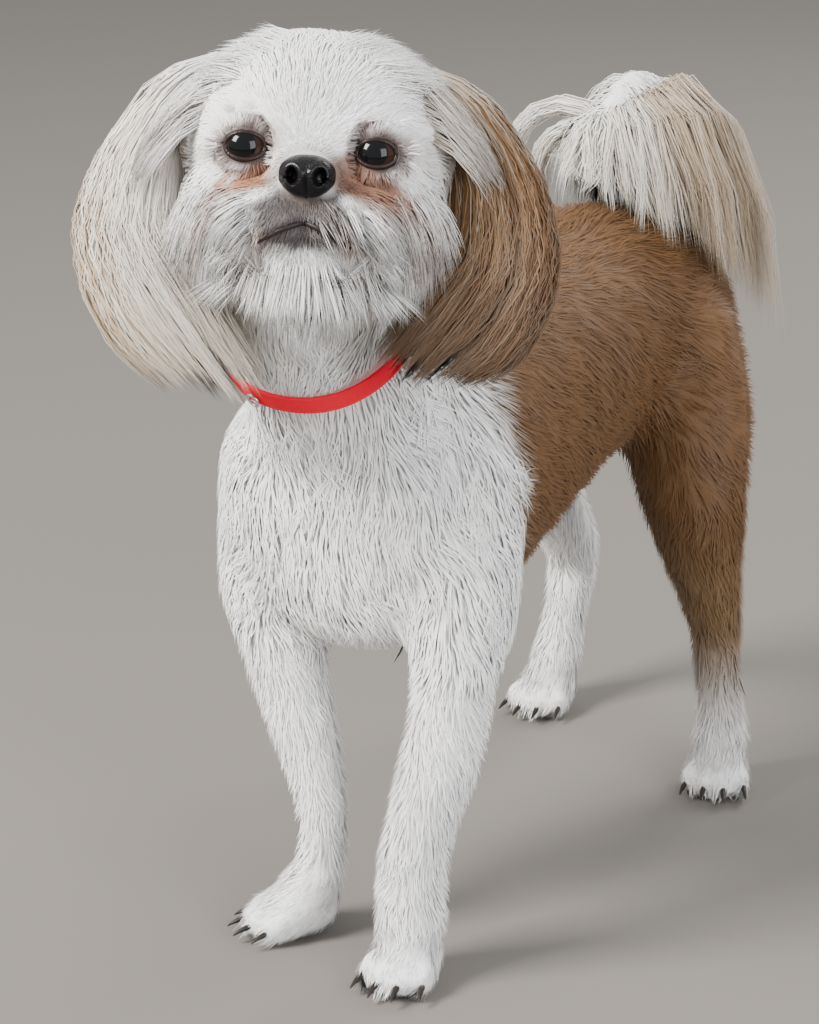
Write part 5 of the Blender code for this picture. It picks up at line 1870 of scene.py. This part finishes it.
@dataclass
class Plume:
    """Long hair of the tail that fans over the back."""

    sizes: TailSizes
    rng: np.random.Generator = field(default_factory=lambda: np.random.default_rng(61))

    def strands(self) -> list[tuple[Mesh, Array, Array]]:
        """Strands in two pieces.

        Returns:
            Mesh, colours and map places of each piece.
        """
        sizes = self.sizes
        rng = self.rng
        count = sizes.strands
        rings = sizes.rings
        falls = np.array(sizes.falls)
        turn = rng.random(count)
        clump = np.floor(turn * sizes.clumps)
        centre = (clump + 0.5) / sizes.clumps
        turn_tip = turn + (centre - turn) * 0.75
        points = np.empty((count, 4, 3))
        for k in range(4):
            used = turn if k < 2 else turn_tip
            place = used * len(falls) % len(falls)
            low = place.astype(int) % len(falls)
            high = (low + 1) % len(falls)
            part = (place - np.floor(place))[:, None]
            points[:, k] = falls[low, k] + (falls[high, k] - falls[low, k]) * part
        curled = step(0.52, 0.58, turn) * step(0.82, 0.76, turn)
        clump_reach = scatter(vectors(clump, clump, clump), 71)
        reach = 0.60 + 0.34 * rng.random(count) ** 0.6 + 0.14 * clump_reach
        reach = (reach * (1.0 - 0.42 * curled))[:, None, None]
        points = points[:, :1] + (points - points[:, :1]) * reach
        layer = rng.random(count)
        points[:, 1:3, 2] -= 0.016 * layer[:, None] ** 1.5
        jitter = rng.normal(0.0, 1.0, (count, 4, 3)) * np.array([0.0016, 0.0020, 0.0014])
        points += jitter * np.array([1.6, 0.8, 0.8, 0.9])[None, :, None]
        wisp = scatter(vectors(clump, clump * 2, clump), 72) - 0.5
        points[:, 3, 0] += 0.014 * wisp
        points[:, 3, 1] += 0.014 * (scatter(vectors(clump * 3, clump, clump), 73) - 0.5)
        paths = self.bend(points, rings + 1)
        away = points[:, 2] - points[:, 0]
        away[:, 2] = 0.0
        away = unit(away)
        across = vectors(-away[:, 1], away[:, 0], 0.0)
        t = np.arange(rings + 1)[None] / rings
        phase = scatter(vectors(clump, clump, clump * 5), 74)[:, None]
        wave = 0.0022 * np.sin(math.tau * (1.3 * t + phase)) * t
        paths += across[:, None] * wave[..., None]
        outs = np.cross(across[:, None], np.gradient(paths, axis=1))
        outer = (away + np.array([0.0, 0.0, 1.0]))[:, None]
        outs *= np.sign(np.sum(outs * outer, axis=2, keepdims=True))
        color, root = self.colors(turn, clump, rng)
        width = sizes.width * rng.uniform(0.6, 1.3, count)
        places = np.stack([0.05 + 0.9 * turn, 0.10 + 0.8 * layer], axis=1)
        found = []
        for part in range(2):
            some = np.arange(part, count, 2)
            mesh = StrandMesh.build(paths[some], outs[some], width[some], 0.8)
            found.append((mesh, StrandMesh.spread(root[some], color[some], rings),
                          StrandMesh.patch(places[some], rings)))
        return found

    @staticmethod
    def bend(points: Array, count: int) -> Array:
        """Smooth curves through four points each.

        Args:
            points: Points as (strand, 4, xyz).
            count: Samples along each.

        Returns:
            Curves as (strand, sample, xyz).
        """
        first = 2 * points[:, :1] - points[:, 1:2]
        last = 2 * points[:, -1:] - points[:, -2:-1]
        rows = np.concatenate([first, points, last], axis=1)
        places = 3.0 * np.linspace(0.0, 1.0, count) ** 1.3
        low = np.minimum(places.astype(int), 2)
        t = (places - low)[None, :, None]
        a, b, c, d = (rows[:, low + k] for k in range(4))
        return 0.5 * (2 * b + (c - a) * t + (2 * a - 5 * b + 4 * c - d) * t ** 2
                      + (3 * b - a - 3 * c + d) * t ** 3)

    @staticmethod
    def colors(turn: Array, clump: Array, rng: np.random.Generator) -> tuple[Array, Array]:
        """Tip and root colours: cream and white with a few darker streaks.

        Args:
            turn: Place around the tail.
            clump: Clump numbers.
            rng: Source of chance.

        Returns:
            Tip colours and root colours.
        """
        spot = vectors(np.cos(turn * math.tau), np.sin(turn * math.tau), clump * 0.31)
        streak = noise(spot, 0.30, 81)
        base = mix(Markings.white, Markings.cream, np.clip(0.35 + 0.9 * streak, 0, 1)) * 0.90
        side = step(0.46, 0.36, turn)
        base = mix(base, Markings.gold * 0.8, (0.40 + 0.50 * step(0.30, 0.65, streak)) * side)
        shade = rng.uniform(0.88, 1.08, len(turn))[:, None]
        return base * shade * 0.92, mix(base, Markings.white, 0.4 - 0.3 * side) * shade * 0.9

    def curls(self) -> tuple[Mesh, Array, Array]:
        """Loose loops of hair at the front of the tail.

        Returns:
            Mesh, colours and map places.
        """
        rng = self.rng
        count = self.sizes.curl_strands
        rings = self.sizes.rings
        paths = []
        for loop in self.sizes.curls:
            line = curve(loop, rings * 4 + 1)
            for _ in range(count):
                end = rng.uniform(0.72, 1.0)
                place = np.linspace(0.0, end, rings + 1) * (len(line) - 1)
                low = np.minimum(place.astype(int), len(line) - 2)
                row = line[low] + (line[low + 1] - line[low]) * (place - low)[:, None]
                swing = rng.normal(0.0, 0.0019, 3) * np.linspace(0.7, 1.0, rings + 1)[:, None]
                paths.append(row + swing)
        paths = np.array(paths)
        total = len(paths)
        outs = np.tile([0.3, -0.9, 0.3], (total, rings + 1, 1)).astype(float)
        color = mix(Markings.white, Markings.cream, rng.random(total)) * 0.93
        mesh = StrandMesh.build(paths, outs, self.sizes.width * rng.uniform(0.6, 1.2, total))
        places = rng.uniform(0.06, 0.94, (total, 2))
        return (mesh[:2], StrandMesh.spread(color * 0.9, color, rings),
                StrandMesh.patch(places, rings))

    def base_hair(self) -> tuple[Mesh, Array, Array]:
        """Shorter white hair that hangs off the stem.

        Returns:
            Mesh, colours and map places.
        """
        rng = self.rng
        count = 1700
        stem = curve(self.sizes.stem, 80)
        place = rng.uniform(0.30, 0.98, count)
        row = stem[(place * 79).astype(int)]
        angle = rng.random(count) * math.tau
        tangents = unit(np.gradient(stem[:, :3], axis=0))[(place * 79).astype(int)]
        side = np.tile([1.0, 0.0, 0.0], (count, 1))
        up = np.cross(tangents, side)
        out = side * np.cos(angle)[:, None] + up * np.sin(angle)[:, None]
        root = row[:, :3] + out * row[:, 3:] * 0.9
        rings = 4
        t = np.arange(rings + 1)[None] / rings
        length = rng.uniform(0.022, 0.040, count)[:, None]
        top = np.clip(out[:, 2], 0.0, 1.0)
        rise = (0.013 - 0.006 * top)[:, None] * np.sin(0.5 * math.pi * t)
        path = (root[:, None] + out[:, None] * rise[..., None]
                * rng.uniform(0.6, 1.3, count)[:, None, None])
        path[:, :, 0] += (np.sign(out[:, 0]) * 0.014 * top)[:, None] * t
        path[:, :, 2] -= length * t ** 1.5
        path[:, :, 2] = np.maximum(path[:, :, 2], 0.262)
        color = mix(Markings.white, Markings.cream, 0.35 * rng.random(count))
        mesh = StrandMesh.build(path, np.repeat(out[:, None], rings + 1, axis=1),
                                0.0009 * rng.uniform(0.7, 1.3, count))
        places = np.stack([0.05 + 0.9 * angle / math.tau, 0.05 + 0.9 * place], axis=1)
        return (mesh, StrandMesh.spread(color * 0.85, color, rings),
                StrandMesh.patch(places, rings))


@dataclass(frozen=True)
class Eyes:
    """Eyeballs with iris and pupil, and the dark rims of the lids."""

    head: HeadFrame
    sizes: EyeSizes

    def ball(self, sign: float) -> tuple[Mesh, Array]:
        """One eyeball with a slight cornea.

        Args:
            sign: +1 for the dog's left eye.

        Returns:
            Mesh and colours.
        """
        sizes = self.sizes
        middle = self.head.out([sign * sizes.side, sizes.forward, sizes.up])
        gaze = unit(np.array(sizes.gaze) @ self.head.axes)
        verts, tris = ellipsoid(np.zeros(3), np.ones(3), np.eye(3), 96)
        verts = unit(verts)
        angle = np.degrees(np.arccos(np.clip(verts @ gaze, -1.0, 1.0)))
        grow = 1.0 + sizes.bulge * step(52.0, 20.0, angle)
        rays = 0.5 + 0.5 * noise(unit(verts - (verts @ gaze)[:, None] * gaze), 0.10, 91)
        iris = mix(np.array([0.012, 0.006, 0.004]), np.array([0.034, 0.016, 0.009]), rays)
        color = mix(iris, np.array([0.004, 0.003, 0.003]), step(sizes.iris - 14, sizes.iris, angle))
        color = mix(color, np.array([0.003, 0.003, 0.003]),
                    step(sizes.pupil + 4, sizes.pupil - 2, angle))
        white = np.array([0.42, 0.34, 0.30])
        color = mix(color, white, step(sizes.iris + 1, sizes.iris + 7, angle))
        return (middle + verts * (sizes.radius * grow)[:, None], tris), color

    def rim(self, sign: float) -> Mesh:
        """Dark edge of the lids around one eye.

        Args:
            sign: +1 for the dog's left eye.

        Returns:
            Points and triangles.
        """
        sizes = self.sizes
        turn = np.linspace(0.0, math.tau, 61)
        side = sizes.half_wide * np.cos(turn)
        up = sizes.half_tall * np.sin(turn)
        reach = sizes.radius + 0.0005
        ahead = np.sqrt(np.maximum(reach ** 2 - side ** 2 - up ** 2, 1e-8))
        rows = self.head.out(np.stack([sign * sizes.side + side, sizes.forward + ahead,
                                       sizes.up + up], axis=1))
        radius = np.full(len(rows), sizes.rim_radius)
        tangents = unit(np.gradient(rows, axis=0))
        forward = self.head.axes[1]
        angle = np.arange(10) * math.tau / 10
        sides = unit(np.cross(tangents, forward))
        ups = np.cross(sides, tangents)
        rings = (rows[:, None] + radius[:, None, None]
                 * (sides[:, None] * np.cos(angle)[None, :, None] * 1.3
                    + ups[:, None] * np.sin(angle)[None, :, None]))
        return shell(rings)


@dataclass(frozen=True)
class Nose:
    """Nose leather with nostrils and the groove under it."""

    head: HeadFrame
    sizes: MuzzleSizes

    def mesh(self) -> Mesh:
        """Shape the leather.

        Returns:
            Points and triangles.
        """
        sizes = self.sizes
        verts, tris = ellipsoid(np.zeros(3), np.ones(3), np.eye(3)[[0, 2, 1]], 150)
        ball = unit(verts)
        side, ahead, up = ball[:, 0], ball[:, 1], ball[:, 2]
        blocky = (np.abs(side) ** 2.6 + np.abs(up) ** 2.6) ** (1.0 / 2.6)
        blocky = np.hypot(side, up) / np.maximum(blocky, 1e-6)
        shape = ball * np.array(sizes.nose_radii)
        shape[:, [0, 2]] *= blocky[:, None] * 0.94
        shape[:, 0] *= 1.0 - 0.20 * step(-0.1, -1.0, up) - 0.10 * step(0.3, 1.0, up)
        front = step(0.0, 0.4, ahead)
        for sign in (-1.0, 1.0):
            hole = np.stack([(shape[:, 0] - sign * sizes.nostril_side
                              - sign * 0.10 * shape[:, 2]) * 1.15,
                             (shape[:, 2] - sizes.nostril_up) * 0.80], axis=1)
            gap = np.linalg.norm(hole, axis=1)
            slit = segment_gap(shape[:, [0, 2]], np.array([sign * 0.0068, -0.0014]),
                               np.array([sign * 0.0100, -0.0022]))
            wing = np.exp(-((gap - 0.0040) / 0.0013) ** 2) * step(-0.7, 0.3, up)
            shape[:, 1] += front * 0.0008 * wing
            shape[:, 1] -= front * sizes.nostril_depth * step(sizes.nostril_radius,
                                                              sizes.nostril_radius * 0.45, gap)
            shape[:, 1] -= front * 0.0016 * step(0.0012, 0.0003, slit)
        groove = np.exp(-(shape[:, 0] / 0.0007) ** 2) * step(0.15, -0.25, up)
        shape[:, 1] -= front * 0.0011 * groove
        return self.head.out(np.array(sizes.nose) + shape), tris


class Collar:
    """Red woven band and its small ring."""

    def __init__(self, sizes: CollarSizes) -> None:
        """Work out two axes across the band's normal.

        Args:
            sizes: Sizes of the collar.
        """
        self.sizes = sizes
        self.normal = unit(np.array(sizes.normal))
        first = np.array([1.0, 0.0, 0.0])
        self.first = unit(first - (first @ self.normal) * self.normal)
        self.second = np.cross(self.normal, self.first)

    def band(self) -> tuple[Mesh, Array]:
        """Closed band with rolled edges and a weave.

        Returns:
            Mesh and pattern places.
        """
        sizes = self.sizes
        count = 220
        threads = 1400.0
        angle = np.arange(count) * math.tau / count
        out = np.cos(angle)[:, None] * self.first + np.sin(angle)[:, None] * self.second
        tall = sizes.half_height
        thick = sizes.thickness / 2
        turn = np.linspace(0.0, math.tau, 25)[:-1]
        lift = tall * np.sign(np.sin(turn)) * np.abs(np.sin(turn)) ** 0.35
        deep = thick * np.sign(np.cos(turn)) * np.abs(np.cos(turn)) ** 0.45
        rows = []
        places = []
        wave = 0.0003 * np.sin(angle * 5.0)
        for k in range(len(turn)):
            radius = sizes.radius - thick + deep[k] + wave
            rows.append(np.array(sizes.middle) + out * radius[:, None] + self.normal * lift[k])
            places.append(vectors(angle * sizes.radius, lift[k], 0.0) * threads)
        return (np.vstack(rows), bands(len(turn), count, closed=True)), np.vstack(places)

    def ring(self) -> Mesh:
        """Ring of round wire against the band.

        Returns:
            Points and triangles.
        """
        sizes = self.sizes
        out = unit(np.array(sizes.ring_side))
        middle = (np.array(sizes.middle) + out * (sizes.radius + sizes.ring_wire + 0.0003)
                  - self.normal * sizes.ring_drop)
        first = unit(np.cross(out, np.array([0.0, 0.0, 1.0])))
        second = np.cross(out, first)
        rows, count = 48, 16
        around = np.arange(rows) * math.tau / rows
        turn = np.arange(count) * math.tau / count
        away = np.cos(around)[:, None] * first + np.sin(around)[:, None] * second
        rings = (middle + away[:, None] * (sizes.ring_radius + sizes.ring_wire
                                           * np.cos(turn))[None, :, None]
                 + out * (sizes.ring_wire * np.sin(turn))[None, :, None])
        return rings.reshape(-1, 3), bands(rows, count, closed=True)


@dataclass
class Claws:
    """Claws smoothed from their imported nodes."""

    shift: Array

    def smooth(self, name: str) -> Mesh:
        """Round one packed claw.

        Args:
            name: Node name.

        Returns:
            Points and triangles in the dog's frame.
        """
        work = bmesh.new()
        work.from_mesh(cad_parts[name].data)
        bmesh.ops.remove_doubles(work, verts=work.verts, dist=1e-6)
        data = bpy.data.meshes.new("claw")
        work.to_mesh(data)
        work.free()
        obj = bpy.data.objects.new("claw", data)
        bpy.context.scene.collection.objects.link(obj)
        smooth = obj.modifiers.new("round", "SUBSURF")
        smooth.levels = 2
        smooth.render_levels = 2
        depsgraph = bpy.context.evaluated_depsgraph_get()
        verts, tris, _ = read_mesh(bpy.data.meshes.new_from_object(obj.evaluated_get(depsgraph)))
        bpy.data.objects.remove(obj)
        return verts - self.shift, tris


@dataclass(frozen=True)
class View:
    """Camera in the dog's frame: it looks at a point from an angle and a distance."""

    azimuth: float = 30.0
    elevation: float = 18.0
    distance: float = 1.55
    lens: float = 120.0
    aim: tuple = (-0.056, 0.016, 0.142)


@dataclass(frozen=True)
class Lamp:
    """Square lamp: where it hangs, its watts, its edge and its colour."""

    name: str
    place: tuple
    power: float
    size: float
    color: tuple


LAMPS = (
    Lamp("key", (-0.9, -1.5, 1.6), 130.0, 0.8, (1.0, 0.98, 0.95)),
    Lamp("fill", (1.7, -0.9, 0.9), 38.0, 1.2, (0.96, 0.98, 1.0)),
    Lamp("back", (0.3, 1.7, 1.4), 36.0, 1.0, (1.0, 0.98, 0.95)),
)


@dataclass
class Studio:
    """Floor, soft lights, world and camera."""

    stage: Stage

    def floor(self) -> None:
        """Lay a wide pale floor."""
        half = 9.0
        verts = np.array([[-half, -half, 0.0], [half, -half, 0.0], [half, half, 0.0],
                          [-half, half, 0.0]])
        data = bpy.data.meshes.new("floor")
        fill_mesh(data, verts, np.array([[0, 1, 2], [0, 2, 3]]))
        data.materials.append(self.stage.materials["floor"])
        obj = bpy.data.objects.new("floor", data)
        bpy.context.scene.collection.objects.link(obj)
        obj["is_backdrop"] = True

    def lights(self) -> None:
        """Hang the lamps, pointed at the dog, and set the world."""
        middle = Vector((0.0, 0.0, 0.2))
        for lamp in LAMPS:
            data = bpy.data.lights.new(lamp.name, "AREA")
            data.energy = lamp.power
            data.size = lamp.size
            data.color = lamp.color
            obj = bpy.data.objects.new(lamp.name, data)
            obj.location = lamp.place
            aim = middle - Vector(lamp.place)
            obj.rotation_euler = aim.to_track_quat("-Z", "Y").to_euler()
            bpy.context.scene.collection.objects.link(obj)
            obj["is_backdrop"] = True
        world = bpy.data.worlds.new("studio")
        world.use_nodes = True
        back = world.node_tree.nodes["Background"]
        back.inputs["Color"].default_value = (0.90, 0.94, 1.0, 1.0)
        back.inputs["Strength"].default_value = 0.90
        bpy.context.scene.world = world

    def camera(self, view: View) -> None:
        """Set up the camera of the photo.

        Args:
            view: Its place and lens.
        """
        azimuth, elevation = math.radians(view.azimuth), math.radians(view.elevation)
        back = Vector((math.sin(azimuth) * math.cos(elevation),
                       -math.cos(azimuth) * math.cos(elevation), math.sin(elevation)))
        right = Vector((math.cos(azimuth), math.sin(azimuth), 0.0))
        up = back.cross(right)
        data = bpy.data.cameras.new("camera")
        data.lens = view.lens
        data.sensor_width = 36.0
        data.sensor_fit = "AUTO"
        data.clip_end = 60.0
        obj = bpy.data.objects.new("camera", data)
        place = Vector(np.array(view.aim) + self.stage.shift) + back * view.distance
        turn = Matrix((right, up, back)).transposed().to_4x4()
        obj.matrix_world = Matrix.Translation(place) @ turn
        bpy.context.scene.collection.objects.link(obj)
        bpy.context.scene.camera = obj


class Dog:
    """The whole animal, put together from its parts."""

    def __init__(self) -> None:
        """Choose the sizes and set up what the pieces share."""
        self.sizes = HeadSizes()
        self.eyes = EyeSizes()
        self.muzzle = MuzzleSizes()
        self.collar = CollarSizes()
        self.tail = TailSizes()
        self.ears = EarSizes()
        self.coat = CoatSizes()
        self.head = HeadFrame(self.sizes)
        self.stage = Stage(self.head, self.eyes)
        self.markings = Markings(self.eyes)

    def build_skin_and_coat(self) -> None:
        """Make the skin, its tufts and the longer hair of the face."""
        skin = Skin(self.head, self.sizes, self.eyes, self.muzzle, self.coat, self.tail,
                    self.stage.shift)
        verts, tris, normals = skin.melt()
        regions = Regions(self.head, self.sizes, verts)
        atlas = Atlas(verts, tris, regions)
        # Painted shade: the skin takes the coat's colour darkened to 0.94, as shade under the
        # tufts.
        color = self.markings.coat(regions) * 0.94
        self.stage.place("skin", (verts, tris), "skin", "coat_white", FLESH, colors=color,
                         uvs=atlas.uvs.reshape(-1, 2))
        rows = skin.mouth(0.0, 0.98, -0.0002)
        radius = self.muzzle.line_radius * (1.0 - 0.6 * np.linspace(-1, 1, len(rows)) ** 4)
        self.stage.place("lip_line", tube(rows, radius, radius, self.head.axes[2], 10), "lip",
                         "nose_leather")
        side = np.zeros(14)
        up = np.linspace(-0.0135, self.muzzle.mouth_top + 0.0004, 14)
        rows = self.head.out(np.stack([side, skin.face_depth(side, up) - 0.0006, up], axis=1))
        radius = np.full(14, 0.0006)
        self.stage.place("philtrum", tube(rows, radius, radius, self.head.axes[0], 8), "lip",
                         "nose_leather")
        coat = Coat(self.head, self.sizes, self.eyes, self.muzzle, self.collar, self.coat,
                    self.markings)
        tan = (Zone.FLANK.value[0], Zone.HINDLEGS.value[0])
        for name, (mesh, colors, uvs) in coat.grow(verts, tris, normals, atlas.uvs,
                                                   regions).items():
            slot = "coat_tan" if name.startswith(tan) else "coat_white"
            self.stage.place(name, mesh, "hair", slot, colors=colors, uvs=uvs)
        mesh, colors, uvs = FaceHair(self.head, self.sizes, self.markings).grow(
            verts, tris, normals, atlas.uvs)
        self.stage.place("face_hair", mesh, "silk", "coat_white", colors=colors, uvs=uvs)

    def build_ears(self) -> None:
        """Make both ears."""
        for side, stations, sign in (("left", self.ears.left, 1.0),
                                     ("right", self.ears.right, -1.0)):
            ear = Ear(self.head, self.ears, stations, sign)
            mesh, colors, uvs = ear.flap()
            self.stage.place(f"ear_flap_{side}", mesh, "skin", "ear_hair", colors=colors, uvs=uvs)
            mesh, colors, uvs = ear.strands()
            self.stage.place(f"ear_hair_{side}", mesh, "silk", "ear_hair", (f"ear_{side}",),
                             colors=colors, uvs=uvs)

    def build_plume(self) -> None:
        """Make the hair of the tail."""
        plume = Plume(self.tail)
        for k, (mesh, colors, uvs) in enumerate(plume.strands()):
            self.stage.place(f"plume_{k + 1}", mesh, "silk", "plume_hair",
                             ("tail",) if k == 0 else (), colors=colors, uvs=uvs)
        for name, (mesh, colors, uvs) in (("plume_base", plume.base_hair()),
                                          ("plume_curls", plume.curls())):
            self.stage.place(name, mesh, "silk", "plume_hair", colors=colors, uvs=uvs)

    def build_face_pieces(self) -> None:
        """Make eyes, lid rims and nose."""
        eyes = Eyes(self.head, self.eyes)
        for side, sign in (("left", 1.0), ("right", -1.0)):
            mesh, colors = eyes.ball(sign)
            self.stage.place(f"eyeball_{side}", mesh, "eye", "eye_gloss", (f"eye_{side}",),
                             colors=colors)
            self.stage.place(f"lid_rim_{side}", eyes.rim(sign), "rim", "nose_leather")
        self.stage.place("nose_pad", Nose(self.head, self.muzzle).mesh(), "nose", "nose_leather",
                         ("nose",))

    def build_wear(self) -> None:
        """Make collar, ring and claws."""
        collar = Collar(self.collar)
        mesh, weave = collar.band()
        self.stage.place("collar_band", mesh, "web", "collar_web", ("collar",), pattern=weave)
        self.stage.place("ring_wire", collar.ring(), "steel", "ring_steel", ("collar_ring",))
        claws = Claws(self.stage.shift)
        for name in CLAWS:
            self.stage.place(f"{name}_horn", claws.smooth(name), "horn", "claw_horn", (name,))


def main() -> None:
    """Build the dog, light it and report every piece."""
    logging.basicConfig(level=logging.INFO, format="%(name)s: %(message)s")
    dog = Dog()
    dog.build_skin_and_coat()
    dog.build_ears()
    dog.build_plume()
    dog.build_face_pieces()
    dog.build_wear()
    studio = Studio(dog.stage)
    studio.floor()
    studio.lights()
    studio.camera(View())
    total = sum(len(obj.data.polygons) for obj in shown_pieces() if obj.type == "MESH")
    LOG.info("all pieces: %d triangles", total)


if __name__ == "__main__":
    main()
